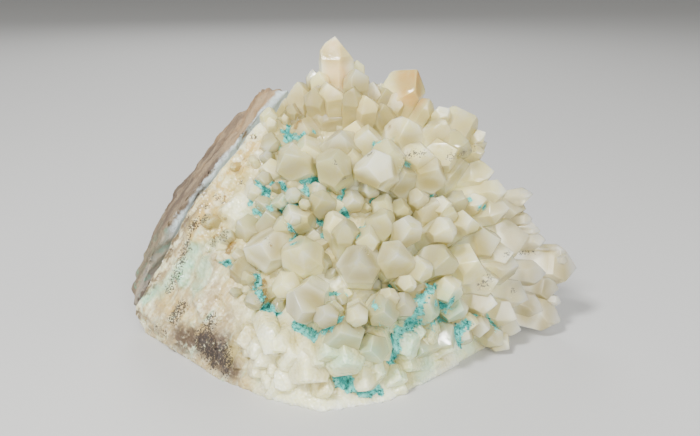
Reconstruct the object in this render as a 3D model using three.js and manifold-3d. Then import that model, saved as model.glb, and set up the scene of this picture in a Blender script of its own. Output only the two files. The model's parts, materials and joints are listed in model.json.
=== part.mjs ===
// A loose quartz specimen, in millimetres, +Z up, standing on its broken base at Z = 0.
//
// Two bodies: the cluster, one grown mass of massive quartz with its crystals fused into it, and
// the plate of layered host rock that the cluster grew on, which covers the left and back left.
// X runs left to right, and the crystals of the middle point towards -Y.

import * as THREE from 'three';
import { ConvexGeometry } from 'three/addons/geometries/ConvexGeometry.js';
import { mergeVertices } from 'three/addons/utils/BufferGeometryUtils.js';
import Module from 'manifold-3d';

const wasm = await Module();
wasm.setup();

// Crystal habit

const FACES_ROUND = 6; // prism faces, and as many pyramid faces
const PYRAMID_SLOPE = 38.2; // degrees that a pyramid face leans back from its prism face
const FACE_SPREAD = 0.14; // how unevenly far the prism faces stand from the axis
const MINOR_SET_BACK = [0.15, 0.6]; // how far every second pyramid face is set out, in radii
const SAME_POINT = 0.01; // corners nearer than this are one corner

// Each crystal of the front is [tip x, tip y, tip z, turn, rise, width, length]. turn is the
// heading of the tip in degrees, 0 towards -Y and 90 towards +X, and rise is how far it points up.

const CROWN = [
  [-3, 3, 60, 0, 85, 6.5, 22],
  [-7.5, 3, 53.5, -30, 78, 3, 12],
  [1.5, 6, 55, 30, 80, 3.5, 14],
  [2, 5.5, 53, 10, 72, 4, 14],
  [6, 4, 51, 40, 72, 4.5, 14],
  [13, 2, 54, 50, 62, 7.5, 17],
  [19.5, -3, 47, 55, 50, 3.5, 12],
  [-10.5, 1, 51.5, -20, 68, 7, 15],
  [7, 1, 49, 25, 70, 5, 12],
  [4.5, -1, 48, 5, 55, 6.5, 14],
  [9.5, 0.5, 49.5, 20, 60, 5, 12],
  [-14.5, 1, 49.5, -30, 60, 6, 13],
  [-12, -1, 47, -20, 62, 5.5, 14],
  [-7, 0, 49, -10, 70, 5, 14],
];

const UPPER_SHELF = [
  [-4.5, -2.5, 48.5, -5, 60, 6.5, 15],
  [-2, -12, 44, -5, 50, 7, 20],
  [3.5, -11.5, 44, 5, 48, 6.5, 16],
  [3, -20, 39.5, -18, 22, 6.5, 18],
  [-12, -14.5, 40, -18, 28, 6.5, 15],
  [-8, -11.5, 42, -8, 42, 6.5, 18],
  [6.5, -2, 47.5, 8, 52, 7.5, 18],
  [11.5, -8.5, 45.5, 15, 48, 7, 18],
  [18.5, -7, 45, 28, 48, 6.5, 18],
  [24.5, -4, 46, 52, 38, 9, 26],
  [27, -2, 42, 65, 38, 3, 13],
  [27, -3.5, 38.5, 72, 20, 3, 12],
  [23, -9.5, 37, 38, 25, 9, 22],
  [16.5, -14.5, 37, 20, 22, 6, 16],
  [11, -14.5, 36, 8, 22, 7, 14],
  [-14.5, -6, 42, -30, 48, 5.5, 14],
  [-16.5, -11.5, 37.5, -35, 30, 4, 12],
  [28.5, -6, 35, 62, 20, 5, 20],
  [23, -9, 42, 45, 30, 5.5, 20],
  [0, -13, 41, 0, 45, 5.5, 16],
  [8, -15, 41.5, 12, 35, 6, 16],
  [-3.5, -17, 40, -6, 32, 6.5, 16],
  [14, -13, 41, 22, 35, 5.5, 16],
  [20, -11, 40.5, 36, 30, 6, 18],
  [-9.5, -5, 45, -15, 55, 6, 16],
  [1, -7, 45, 0, 58, 5, 14],
];

const VALLEY = [
  [-11, -19, 34, -12, 25, 3, 9],
  [-5, -18.5, 32.5, 0, 28, 5, 12],
  [1, -15, 32, 4, 28, 4, 11],
  [6.5, -14.5, 31.5, 8, 40, 4, 9],
  [10, -14, 30.5, 14, 35, 3.5, 9],
  [14, -13, 32, 18, 30, 4, 9],
  [18.5, -14, 31, 22, 35, 3.5, 9],
  [22.5, -11, 31, 35, 30, 4, 10],
  [27, -9.5, 30, 55, 25, 4, 10],
];

const MIDDLE = [
  [-10.5, -21, 32, -14, 42, 5, 16],
  [-3, -22, 31, -6, 50, 4.5, 15],
  [-1, -24.5, 30.5, 0, 50, 4.5, 15],
  [3, -24.5, 29, 6, 46, 5, 15],
  [2, -29.5, 25.5, 0, 34, 7.5, 20],
  [6.5, -19, 30, 10, 45, 5.5, 15],
  [11, -23, 29, 8, 26, 5.5, 15],
  [16.5, -13.5, 31, 12, 52, 5.5, 15],
  [18, -21.5, 28.5, 16, 30, 5, 14],
  [23.5, -16, 29, 28, 38, 5, 15],
  [8.5, -28.5, 25.5, 6, 30, 6.5, 18],
  [17.5, -25, 24.5, 20, 36, 6, 17],
  [24.5, -20, 22, 30, 32, 7, 18],
  [13, -28, 23.5, 12, 30, 4.5, 14],
  [28.5, -15.5, 24, 42, 24, 5.5, 14],
];

const LEFT = [
  [-16.5, -24, 27, -20, 34, 8, 20],
  [-16.5, -16.5, 30.5, -26, 44, 6.5, 17],
  [-9, -26.5, 26.5, -8, 38, 7, 20],
  [-7.5, -38, 20, -3, 14, 6.5, 20],
  [-12, -31, 21.5, -12, 28, 4.5, 16],
  [-21.5, -22, 21, -32, 25, 8.5, 20],
  [-18.5, -28, 16.5, -26, 10, 3.5, 12],
  [-21, -16, 28, -35, 42, 5, 14],
];

const LOWER_FRONT = [
  [9.5, -32.5, 18.5, 10, 28, 4.5, 13],
  [14, -29, 17, 16, 24, 7.5, 20],
  [-1.5, -39, 15.5, -4, 24, 6.5, 18],
  [6, -35.5, 18.5, 6, 24, 5, 14],
  [4, -37, 12, 3, 22, 5, 18],
  [-4, -39, 19, -5, 20, 4, 12],
  [19, -26, 18.5, 20, 26, 5.5, 14],
];

const RIGHT_FAN = [
  [37, -4, 29.5, 78, 14, 4, 20],
  [36, -4.5, 27, 75, 2, 5, 18],
  [39, -4.5, 22, 76, 6, 3, 12],
  [40, -6, 20, 74, 5, 3.5, 14],
  [36, -7.5, 22, 64, 20, 8, 22],
  [45, -3.5, 17, 80, 4, 2.5, 16],
  [47.5, -4, 13.5, 78, 0, 7, 28],
  [43.5, -6, 9.5, 70, -6, 5, 20],
  [44, -8, 3.5, 75, -8, 6, 26],
  [33.5, -15, 7.5, 52, -2, 6.5, 20],
  [31.5, -17, 1, 38, -22, 4, 16],
  [33, -15, 18, 60, 14, 6, 18],
  [36, -12.5, 10.5, 62, 0, 6, 20],
  [28, -19, 17, 44, 20, 6, 18],
  [31.5, -14.5, 21, 56, 22, 4.5, 14],
  [28, -19.5, 12.5, 45, 10, 5.5, 16],
  [34.5, -14, 4.5, 60, -10, 5, 20],
  [40, -9, 6.5, 68, -8, 5, 20],
  [39.5, -9, 14.5, 72, 4, 5, 22],
  [31.5, -9, 28, 60, 18, 5, 18],
  [31, -8, 31.5, 66, 14, 4.5, 16],
];

const LOWER_LEDGE = [
  [20.5, -25, 14, 24, 16, 5, 16],
  [30, -18, 3, 44, -10, 4, 14],
  [22.5, -23.5, 7, 28, 2, 6.5, 18],
  [14, -30, 8.5, 14, 6, 10, 22],
  [18.5, -26.5, 7.5, 20, 4, 5.5, 16],
  [26.5, -20.5, 7.5, 36, 4, 4, 14],
];

// Crystals of the right and the back stand in rings round the heart of the cluster. A ring is
// { z: height of its tips, reach: how far they stand out, rise, width, count }, and its crystals
// are spread from the first turn to the last.

const HEART = [2, 0, 12];
const BACK_TURNS = [104, 214];
const BACK_RINGS = [
  { z: 7, reach: 38, rise: 2, width: 7, count: 6 },
  { z: 17, reach: 37, rise: 12, width: 7.5, count: 6 },
  { z: 27, reach: 32, rise: 26, width: 7.5, count: 5 },
  { z: 37, reach: 25, rise: 42, width: 6.5, count: 5 },
  { z: 46, reach: 16, rise: 58, width: 6.5, count: 3 },
];
const BACK_LENGTH = 22;

// Blunt crystals and lumps of massive quartz, in the same form: the foot of the front, and the
// broken slope between the crystals and the host rock.

const FOOT = [
  [-7.5, -38.5, 6, -6, -6, 8.5, 20],
  [-14, -33.5, 5, -16, 0, 7, 18],
  [-14.5, -33, 12, -16, 16, 9.5, 22],
  [-5, -38.5, 12.5, -6, 16, 8.5, 22],
  [-20.5, -28, 7.5, -28, 12, 8.5, 20],
  [2, -37, 4, 3, -8, 10.5, 20],
  [11, -31, 4.5, 14, -4, 9.5, 20],
  [19, -26, 6, 22, 0, 6.5, 16],
  [-1, -39, 11, 0, 18, 7, 18],
];

const BROKEN_SLOPE = [
  [-25.5, -25, 7, -34, 20, 9, 16],
  [-36.5, -15.5, 8, -44, 26, 10, 16],
  [-30, -20, 15, -40, 30, 9, 16],
  [-42, -11, 4, -60, 10, 8, 14],
  [-28, -17.5, 23, -42, 34, 9, 16],
  [-35.5, -12.5, 18, -52, 34, 9, 14],
  [-25, -13, 30, -40, 38, 8, 14],
  [-21.5, -8.5, 37, -38, 42, 7.5, 14],
];

// Corners of the mass of quartz that the crystals stand on: its foot, then up to the crown.

const MASS = [
  [-43, -7, 0], [-36, -11, 0], [-30, -16, 0], [-24, -26.5, 0], [-14, -33.5, 0], [-5, -37.5, 0],
  [7, -34, 0], [17, -24.5, 0], [28, -13, 0], [31, -3, 0], [30, 12, 0], [21, 25, 0], [6, 33, 0],
  [-14, 35, 0], [-32, 24, 0], [-43, 6, 0],
  [-45.5, -7, 7], [-34, -12, 14], [-24, -20, 12], [-6, -28, 10], [13, -20, 12], [28, -4, 12],
  [28, 11, 15], [16, 24, 16], [-6, 30, 16],
  [-32, -8, 28], [-24, -9, 30], [-6, -15, 24], [10, -12, 24], [23, -1, 26], [18, 12, 28],
  [-19, -2, 45], [-11, -2, 43], [4, -3, 39], [14, 2, 37], [9, 9, 38], [-8, 11, 41], [-3, 3, 45],
];

// Host rock: the contact plane, the corners of the plate, and the ledges that its layers end in.

const CONTACT_NORMAL = new THREE.Vector3(-0.74, 0.5, 0.45).normalize();
const CONTACT_OFFSET = 31.5;
const CONTACT_GAP = 0.3;
const PLATE = [
  [-14, 2, 49.5], [-28.5, -4.5, 34], [-35, -6.5, 27], [-40.5, -8.5, 17.5], [-43.5, -8, 7],
  [-18, 5, 49], [-24, 6, 44], [-30.5, 6, 36.5], [-38, 6, 28], [-43.5, 2, 17], [-46.5, -3, 9],
  [-45.5, -4, 4], [-45, 6, 0], [-39, 19, 0], [-30, 29, 0], [-16, 35, 0], [-4, 34, 12],
  [-43, 12, 10], [-38, 20, 18], [-30, 30, 14], [-18, 34, 22], [-22, 23, 36], [-12, 17, 45],
  [0, 24, 34], [-2, 15, 42], [-8, 7, 48],
];
const SLOPE_NORMAL = new THREE.Vector3(-0.79, 0.18, 0.58).normalize();
const PLATE_MIDDLE = [-26, 12, 20];
const LAYERS = [
  { from: 15, to: 39.5, shrink: 1, shift: [0, -0.6, 0] },
  { from: 39, to: 41.5, shrink: 0.965, shift: [0.4, 0.8, -0.6] },
  { from: 41, to: 43, shrink: 0.985, shift: [0, -0.4, 0.4] },
  { from: 42.5, to: 60, shrink: 0.975, shift: [-0.6, 1.2, -0.4] },
];

const ROOM = 200; // side of the blocks that cut a body off at a plane

// Deterministic spread: the same number in gives the same share, 0 to 1, out.
function share(number, salt) {
  const wave = Math.sin(number * 12.9898 + salt * 78.233) * 43758.5453;
  return wave - Math.floor(wave);
}

// Heading of a crystal: turned from -Y towards +X, then raised.
function heading(turn, rise) {
  const t = THREE.MathUtils.degToRad(turn);
  const r = THREE.MathUtils.degToRad(rise);
  return new THREE.Vector3(Math.sin(t) * Math.cos(r), -Math.cos(t) * Math.cos(r), Math.sin(r));
}

// Corners of the solid that lies behind every plane: each meeting point of three planes that no
// other plane cuts off.
function cornersBehind(planes) {
  const corners = [];
  const meet = new THREE.Vector3();
  const matrix = new THREE.Matrix3();
  for (let i = 0; i < planes.length; i++) {
    for (let j = i + 1; j < planes.length; j++) {
      for (let k = j + 1; k < planes.length; k++) {
        const [a, b, c] = [planes[i], planes[j], planes[k]];
        matrix.set(a.normal.x, a.normal.y, a.normal.z, b.normal.x, b.normal.y, b.normal.z,
          c.normal.x, c.normal.y, c.normal.z);
        if (Math.abs(matrix.determinant()) < 1e-4) continue;
        meet.set(-a.constant, -b.constant, -c.constant).applyMatrix3(matrix.invert());
        const inside = planes.every((plane) => plane.distanceToPoint(meet) < 1e-6);
        const known = corners.some((corner) => corner.distanceTo(meet) < SAME_POINT);
        if (inside && !known) corners.push(meet.clone());
      }
    }
  }
  return corners;
}

// Corners of one quartz crystal. Its prism faces stand round the axis at uneven distances, three
// large pyramid faces meet in the tip, and the three between them are set out and stay smaller.
function crystalCorners([x, y, z, turn, rise, width, length], number) {
  const tip = new THREE.Vector3(x, y, z);
  const axis = heading(turn, rise);
  const side = new THREE.Vector3(0, 0, 1).cross(axis);
  if (side.length() < 0.1) side.set(1, 0, 0);
  side.normalize();
  const slope = THREE.MathUtils.degToRad(PYRAMID_SLOPE);
  const radius = width / 2;
  const roll = share(number, 1) * (2 * Math.PI) / FACES_ROUND;
  const planes = [];
  const root = tip.clone().addScaledVector(axis, -length);
  planes.push(new THREE.Plane().setFromNormalAndCoplanarPoint(axis.clone().negate(), root));
  for (let face = 0; face < FACES_ROUND; face++) {
    const angle = roll + (face * 2 * Math.PI) / FACES_ROUND;
    const out = side.clone().applyAxisAngle(axis, angle);
    const stand = radius * (1 + FACE_SPREAD * (2 * share(number, 10 + face) - 1));
    const prism = tip.clone().addScaledVector(out, stand);
    planes.push(new THREE.Plane().setFromNormalAndCoplanarPoint(out, prism));
    const [least, most] = MINOR_SET_BACK;
    const setOut = face % 2 ? radius * (least + (most - least) * share(number, 20 + face)) : 0;
    const lean = out.clone().multiplyScalar(Math.cos(slope)).addScaledVector(axis, Math.sin(slope));
    const point = tip.clone().addScaledVector(lean, setOut);
    planes.push(new THREE.Plane().setFromNormalAndCoplanarPoint(lean, point));
  }
  return cornersBehind(planes);
}

// Rows of the crystals of the right and the back, worked out from the rings.
function backCrystals() {
  const rows = [];
  for (const [ring, { z, reach, rise, width, count }] of BACK_RINGS.entries()) {
    for (let place = 0; place < count; place++) {
      const number = 200 + ring * 10 + place;
      const along = (place + 0.5 * (ring % 2)) / count + 0.06 * (share(number, 2) - 0.5);
      const turn = BACK_TURNS[0] + (BACK_TURNS[1] - BACK_TURNS[0]) * along;
      const out = heading(turn, 0);
      const stand = reach * (1 + 0.08 * (share(number, 3) - 0.5));
      rows.push([
        HEART[0] + out.x * stand, HEART[1] + out.y * stand, z + 3 * (share(number, 4) - 0.5),
        turn + 16 * (share(number, 5) - 0.5), rise + 14 * (share(number, 6) - 0.5),
        width * (0.75 + 0.5 * share(number, 7)), BACK_LENGTH,
      ]);
    }
  }
  return rows;
}

// A geometry's triangles as a solid that can be joined and cut.
function solidOf(geometry) {
  geometry.deleteAttribute('normal');
  if (geometry.getAttribute('uv')) geometry.deleteAttribute('uv');
  const merged = mergeVertices(geometry, 1e-5);
  return new wasm.Manifold(new wasm.Mesh({
    numProp: 3,
    vertProperties: new Float32Array(merged.getAttribute('position').array),
    triVerts: new Uint32Array(merged.getIndex().array),
  }));
}

// The convex solid round a list of corners.
function convexSolid(corners) {
  return solidOf(new ConvexGeometry(corners));
}

// Corners written as [x, y, z], as vectors.
function vectors(list) {
  return list.map(([x, y, z]) => new THREE.Vector3(x, y, z));
}

// Everything on the far side of a plane, out to ROOM.
function spaceBeyond(normal, offset) {
  const box = new THREE.BoxGeometry(ROOM, ROOM, ROOM);
  box.translate(0, 0, ROOM / 2);
  const turn = new THREE.Quaternion().setFromUnitVectors(new THREE.Vector3(0, 0, 1), normal);
  box.applyQuaternion(turn);
  box.translate(normal.x * offset, normal.y * offset, normal.z * offset);
  return solidOf(box);
}

// A solid joined from a list of solids.
function joined(solids) {
  return solids.reduce((whole, solid) => whole.add(solid));
}

// The largest connected piece of a solid, so that no loose chip is left.
function largestPiece(solid) {
  return solid.decompose().reduce((best, piece) => (piece.volume() > best.volume() ? piece : best));
}

const FLOOR_CUT = spaceBeyond(new THREE.Vector3(0, 0, -1), 0);

// The cluster: mass, lumps and crystals, cut flat at the resting face and along the contact.
function quartzCluster() {
  const front = [
    ...CROWN, ...UPPER_SHELF, ...VALLEY, ...MIDDLE, ...LEFT, ...LOWER_FRONT, ...RIGHT_FAN,
    ...LOWER_LEDGE, ...FOOT, ...BROKEN_SLOPE,
  ];
  const crystals = [...front, ...backCrystals()];
  const whole = joined([
    convexSolid(vectors(MASS)),
    ...crystals.map((row, number) => convexSolid(crystalCorners(row, number))),
  ]);
  const contact = spaceBeyond(CONTACT_NORMAL, CONTACT_OFFSET - CONTACT_GAP / 2);
  return largestPiece(whole.subtract(contact).subtract(FLOOR_CUT));
}

// One layer of the rock: a slice of the plate along the slope, drawn in and shifted so that its
// edge stands back from or out over its neighbour's.
function rockLayer({ from, to, shrink, shift }) {
  const middle = new THREE.Vector3(...PLATE_MIDDLE);
  const corners = vectors(PLATE).map((corner) => corner.sub(middle).multiplyScalar(shrink)
    .add(middle).add(new THREE.Vector3(...shift)));
  const below = spaceBeyond(SLOPE_NORMAL.clone().negate(), -from);
  const above = spaceBeyond(SLOPE_NORMAL, to);
  return convexSolid(corners).subtract(below).subtract(above);
}

// The host rock: its layers joined, cut flat at the resting face and along the contact.
function hostRock() {
  const inner = spaceBeyond(CONTACT_NORMAL.clone().negate(), -(CONTACT_OFFSET + CONTACT_GAP / 2));
  const whole = joined(LAYERS.map(rockLayer));
  return largestPiece(whole.subtract(inner).subtract(FLOOR_CUT));
}

// A named mesh with its material, from a solid.
function meshOf(solid, name, material) {
  const { vertProperties, triVerts } = solid.getMesh();
  const geometry = new THREE.BufferGeometry();
  geometry.setAttribute('position', new THREE.BufferAttribute(vertProperties, 3));
  geometry.setIndex(new THREE.BufferAttribute(triVerts, 1));
  geometry.computeVertexNormals();
  const mesh = new THREE.Mesh(geometry, material);
  mesh.name = name;
  return mesh;
}

const milkyQuartz = new THREE.MeshStandardMaterial({
  name: 'milky_quartz', color: 0xe6e1d2, roughness: 0.28, metalness: 0, flatShading: true,
});
const layeredRock = new THREE.MeshStandardMaterial({
  name: 'layered_rock', color: 0xb8a48a, roughness: 0.85, metalness: 0, flatShading: true,
});

const group = new THREE.Group();
group.name = 'quartz_specimen';
group.add(meshOf(quartzCluster(), 'quartz_cluster', milkyQuartz));
group.add(meshOf(hostRock(), 'host_rock', layeredRock));

export default group;
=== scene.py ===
"""Looks of a quartz cluster on its host rock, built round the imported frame.

The tables give places in millimetres in the frame's own axes: +Z up from the resting face and
-Y the side that the middle crystals point to. Meshes and materials are in metres.
"""

import json
import logging
import math
from dataclasses import dataclass
from enum import Enum
from functools import reduce
from itertools import combinations, product
from typing import Iterable, Sequence

import bmesh
import bpy
import numpy as np
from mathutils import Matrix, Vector
from mathutils.bvhtree import BVHTree

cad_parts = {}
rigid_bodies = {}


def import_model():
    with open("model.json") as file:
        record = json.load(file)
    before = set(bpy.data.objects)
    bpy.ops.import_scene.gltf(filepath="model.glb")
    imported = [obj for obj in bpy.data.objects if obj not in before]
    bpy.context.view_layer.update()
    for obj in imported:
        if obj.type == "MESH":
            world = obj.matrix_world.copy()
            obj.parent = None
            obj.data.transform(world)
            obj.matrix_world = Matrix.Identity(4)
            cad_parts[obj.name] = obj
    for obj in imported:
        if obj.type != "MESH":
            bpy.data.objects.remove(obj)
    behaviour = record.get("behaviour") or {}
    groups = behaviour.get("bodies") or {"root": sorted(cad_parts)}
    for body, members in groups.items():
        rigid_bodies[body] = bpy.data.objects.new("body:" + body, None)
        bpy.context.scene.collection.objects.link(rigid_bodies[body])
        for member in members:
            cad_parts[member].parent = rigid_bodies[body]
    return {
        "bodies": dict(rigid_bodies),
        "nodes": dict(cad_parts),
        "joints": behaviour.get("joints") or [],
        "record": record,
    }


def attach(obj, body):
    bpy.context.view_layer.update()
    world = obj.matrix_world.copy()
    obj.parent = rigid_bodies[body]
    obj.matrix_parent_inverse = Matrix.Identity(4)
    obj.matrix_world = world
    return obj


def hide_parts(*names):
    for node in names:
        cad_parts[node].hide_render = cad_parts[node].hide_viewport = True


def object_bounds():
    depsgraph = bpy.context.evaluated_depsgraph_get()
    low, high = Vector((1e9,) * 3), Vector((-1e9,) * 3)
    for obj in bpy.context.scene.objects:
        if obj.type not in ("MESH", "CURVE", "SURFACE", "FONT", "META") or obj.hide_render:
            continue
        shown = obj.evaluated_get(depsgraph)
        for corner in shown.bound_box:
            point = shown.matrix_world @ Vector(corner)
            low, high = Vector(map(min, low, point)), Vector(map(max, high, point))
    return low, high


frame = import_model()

CAD_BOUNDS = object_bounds()
LOG = logging.getLogger("quartz")
MM = 0.001
HASH_PRIMES = (73856093, 19349663, 83492791, 2654435761)
HASH_MIXER = 1274126177
HASH_MASK = 0xFFFFFF
NEARLY_PARALLEL = 1e-4
INSIDE = 1e-6
ON_FACE = 2e-3
FLAT_ANGLE = math.radians(0.6)
Rows = Sequence[Sequence[float]]

# Crystals of the front: tip x, y, z, turn, rise, width, length. turn is the heading of the tip
# in degrees, 0 towards -Y and 90 towards +X, and rise is how far it points up.

CROWN: Rows = (
    (-3, 3, 60, 0, 85, 6.5, 22), (-7.5, 3, 53.5, -30, 78, 3, 12), (1.5, 6, 55, 30, 80, 3.5, 14),
    (2, 5.5, 53, 10, 72, 4, 14), (6, 4, 51, 40, 72, 4.5, 14), (13, 2, 54, 50, 62, 7.5, 17),
    (19.5, -3, 47, 55, 50, 3.5, 12), (-10.5, 1, 51.5, -20, 68, 7, 15), (7, 1, 49, 25, 70, 5, 12),
    (4.5, -1, 48, 5, 55, 6.5, 14), (9.5, 0.5, 49.5, 20, 60, 5, 12),
    (-14.5, 1, 49.5, -30, 60, 6, 13), (-12, -1, 47, -20, 62, 5.5, 14), (-7, 0, 49, -10, 70, 5, 14),
)
UPPER_SHELF: Rows = (
    (-4.5, -2.5, 48.5, -5, 60, 6.5, 15), (-2, -12, 44, -5, 50, 7, 20),
    (3.5, -11.5, 44, 5, 48, 6.5, 16), (3, -20, 39.5, -18, 22, 6.5, 18),
    (-12, -14.5, 40, -18, 28, 6.5, 15), (-8, -11.5, 42, -8, 42, 6.5, 18),
    (6.5, -2, 47.5, 8, 52, 7.5, 18), (11.5, -8.5, 45.5, 15, 48, 7, 18),
    (18.5, -7, 45, 28, 48, 6.5, 18), (24.5, -4, 46, 52, 38, 9, 26), (27, -2, 42, 65, 38, 3, 13),
    (27, -3.5, 38.5, 72, 20, 3, 12), (23, -9.5, 37, 38, 25, 9, 22),
    (16.5, -14.5, 37, 20, 22, 6, 16), (11, -14.5, 36, 8, 22, 7, 14),
    (-14.5, -6, 42, -30, 48, 5.5, 14), (-16.5, -11.5, 37.5, -35, 30, 4, 12),
    (28.5, -6, 35, 62, 20, 5, 20), (23, -9, 42, 45, 30, 5.5, 20), (0, -13, 41, 0, 45, 5.5, 16),
    (8, -15, 41.5, 12, 35, 6, 16), (-3.5, -17, 40, -6, 32, 6.5, 16),
    (14, -13, 41, 22, 35, 5.5, 16), (20, -11, 40.5, 36, 30, 6, 18),
    (-9.5, -5, 45, -15, 55, 6, 16), (1, -7, 45, 0, 58, 5, 14),
)
VALLEY: Rows = (
    (-11, -19, 34, -12, 25, 3, 9), (-5, -18.5, 32.5, 0, 28, 5, 12), (1, -15, 32, 4, 28, 4, 11),
    (6.5, -14.5, 31.5, 8, 40, 4, 9), (10, -14, 30.5, 14, 35, 3.5, 9), (14, -13, 32, 18, 30, 4, 9),
    (18.5, -14, 31, 22, 35, 3.5, 9), (22.5, -11, 31, 35, 30, 4, 10), (27, -9.5, 30, 55, 25, 4, 10),
)
MIDDLE: Rows = (
    (-10.5, -21, 32, -14, 42, 5, 16), (-3, -22, 31, -6, 50, 4.5, 15),
    (-1, -24.5, 30.5, 0, 50, 4.5, 15), (3, -24.5, 29, 6, 46, 5, 15),
    (2, -29.5, 25.5, 0, 34, 7.5, 20), (6.5, -19, 30, 10, 45, 5.5, 15),
    (11, -23, 29, 8, 26, 5.5, 15), (16.5, -13.5, 31, 12, 52, 5.5, 15),
    (18, -21.5, 28.5, 16, 30, 5, 14), (23.5, -16, 29, 28, 38, 5, 15),
    (8.5, -28.5, 25.5, 6, 30, 6.5, 18), (17.5, -25, 24.5, 20, 36, 6, 17),
    (24.5, -20, 22, 30, 32, 7, 18), (13, -28, 23.5, 12, 30, 4.5, 14),
    (28.5, -15.5, 24, 42, 24, 5.5, 14),
)
LEFT: Rows = (
    (-16.5, -24, 27, -20, 34, 8, 20), (-16.5, -16.5, 30.5, -26, 44, 6.5, 17),
    (-9, -26.5, 26.5, -8, 38, 7, 20), (-7.5, -38, 20, -3, 14, 6.5, 20),
    (-12, -31, 21.5, -12, 28, 4.5, 16), (-21.5, -22, 21, -32, 25, 8.5, 20),
    (-18.5, -28, 16.5, -26, 10, 3.5, 12), (-21, -16, 28, -35, 42, 5, 14),
)
LOWER_FRONT: Rows = (
    (9.5, -32.5, 18.5, 10, 28, 4.5, 13), (14, -29, 17, 16, 24, 7.5, 20),
    (-1.5, -39, 15.5, -4, 24, 6.5, 18), (6, -35.5, 18.5, 6, 24, 5, 14),
    (4, -37, 12, 3, 22, 5, 18), (-4, -39, 19, -5, 20, 4, 12), (19, -26, 18.5, 20, 26, 5.5, 14),
)
RIGHT_FAN: Rows = (
    (37, -4, 29.5, 78, 14, 4, 20), (36, -4.5, 27, 75, 2, 5, 18), (39, -4.5, 22, 76, 6, 3, 12),
    (40, -6, 20, 74, 5, 3.5, 14), (36, -7.5, 22, 64, 20, 8, 22), (45, -3.5, 17, 80, 4, 2.5, 16),
    (47.5, -4, 13.5, 78, 0, 7, 28), (43.5, -6, 9.5, 70, -6, 5, 20), (44, -8, 3.5, 75, -8, 6, 26),
    (33.5, -15, 7.5, 52, -2, 6.5, 20), (31.5, -17, 1, 38, -22, 4, 16),
    (33, -15, 18, 60, 14, 6, 18), (36, -12.5, 10.5, 62, 0, 6, 20), (28, -19, 17, 44, 20, 6, 18),
    (31.5, -14.5, 21, 56, 22, 4.5, 14), (28, -19.5, 12.5, 45, 10, 5.5, 16),
    (34.5, -14, 4.5, 60, -10, 5, 20), (40, -9, 6.5, 68, -8, 5, 20),
    (39.5, -9, 14.5, 72, 4, 5, 22), (31.5, -9, 28, 60, 18, 5, 18), (31, -8, 31.5, 66, 14, 4.5, 16),
)
LOWER_LEDGE: Rows = (
    (20.5, -25, 14, 24, 16, 5, 16), (30, -18, 3, 44, -10, 4, 14), (22.5, -23.5, 7, 28, 2, 6.5, 18),
    (14, -30, 8.5, 14, 6, 10, 22), (18.5, -26.5, 7.5, 20, 4, 5.5, 16),
    (26.5, -20.5, 7.5, 36, 4, 4, 14),
)

FRONT = (CROWN, UPPER_SHELF, VALLEY, MIDDLE, LEFT, LOWER_FRONT, RIGHT_FAN, LOWER_LEDGE)

# Blunt lumps of massive quartz: the foot of the front, and the slope beside the host rock. Small
# lumps stand along FOOT_EDGE, with the headings FOOT_TURNS at its points.

FOOT_EDGE = ((-22, -27, 1), (-13, -34, 1), (-3, -37, 1), (9, -32, 1), (19, -22, 1))
FOOT_TURNS = (-42, -20, 2, 26, 44)
FOOT: Rows = (
    (-7.5, -38.5, 6, -6, -6, 8.5, 20), (-14, -33.5, 5, -16, 0, 7, 18),
    (-14.5, -33, 12, -16, 16, 9.5, 22), (-5, -38.5, 12.5, -6, 16, 8.5, 22),
    (-20.5, -28, 7.5, -28, 12, 8.5, 20), (2, -37, 4, 3, -8, 10.5, 20),
    (11, -31, 4.5, 14, -4, 9.5, 20), (19, -26, 6, 22, 0, 6.5, 16), (-1, -39, 11, 0, 18, 7, 18),
)
BROKEN_SLOPE: Rows = (
    (-25.5, -25, 7, -34, 20, 9, 16), (-36.5, -15.5, 8, -44, 26, 10, 16),
    (-30, -20, 15, -40, 30, 9, 16), (-42, -11, 4, -60, 10, 8, 14),
    (-28, -17.5, 23, -42, 34, 9, 16), (-35.5, -12.5, 18, -52, 34, 9, 14),
    (-25, -13, 30, -40, 38, 8, 14), (-21.5, -8.5, 37, -38, 42, 7.5, 14),
)

# Small crystals that stand between the main ones where the eye falls.

SMALL: Rows = (
    (-17.5, -13, 35.5, -32, 22, 3, 9), (-19, -13.5, 33, -32, 20, 3.5, 9),
    (-13.5, -18, 32.5, -22, 22, 3, 9), (-8.5, -20, 32.5, -6, 22, 2, 8),
    (-10.5, -22, 30.5, -12, 20, 2.5, 9), (19.5, -15.5, 30, 22, 42, 3, 11),
    (-13, -21, 30, -14, 44, 3.5, 12), (10.5, -30, 21, 10, 20, 3, 10), (7, -33, 20, 8, 30, 3.5, 12),
    (1, -38, 18.5, 0, 18, 3.5, 12), (23.5, -22.5, 9.5, 26, 10, 3.5, 12),
    (0, -1.5, 48.5, 10, 62, 3.5, 12), (27.5, -2, 40, 70, 30, 3, 12), (38, -4.5, 23, 76, 8, 2.5, 12),
    (37, -4.5, 24.5, 76, 10, 2.5, 12), (44, -6.5, 7, 75, -6, 2.5, 14),
    (45, -4.5, 15.5, 80, 0, 2, 14), (16, -2, 48.5, 60, 60, 3.5, 12),
)

# Crystals that crowd round the foot of the crown.

CROWN_FOOT: Rows = (
    (1.5, -3, 54.4, 8, 62, 4.8, 14), (-3.8, -5, 52.6, -6, 56, 5.5, 14),
    (0.4, -5.2, 51.4, 4, 54, 5, 14), (4.6, 0.5, 51.4, 14, 60, 5.5, 14),
    (-6.8, -4.5, 51.2, -16, 52, 5, 14), (-6.4, -1, 53.6, -24, 60, 4, 13),
    (7.5, 0, 50.2, 20, 58, 4.5, 13), (3.2, -5.5, 49.6, 8, 50, 4.5, 13),
)

# Corners of the mass of quartz that the crystals stand on, and of the plate of host rock.

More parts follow.
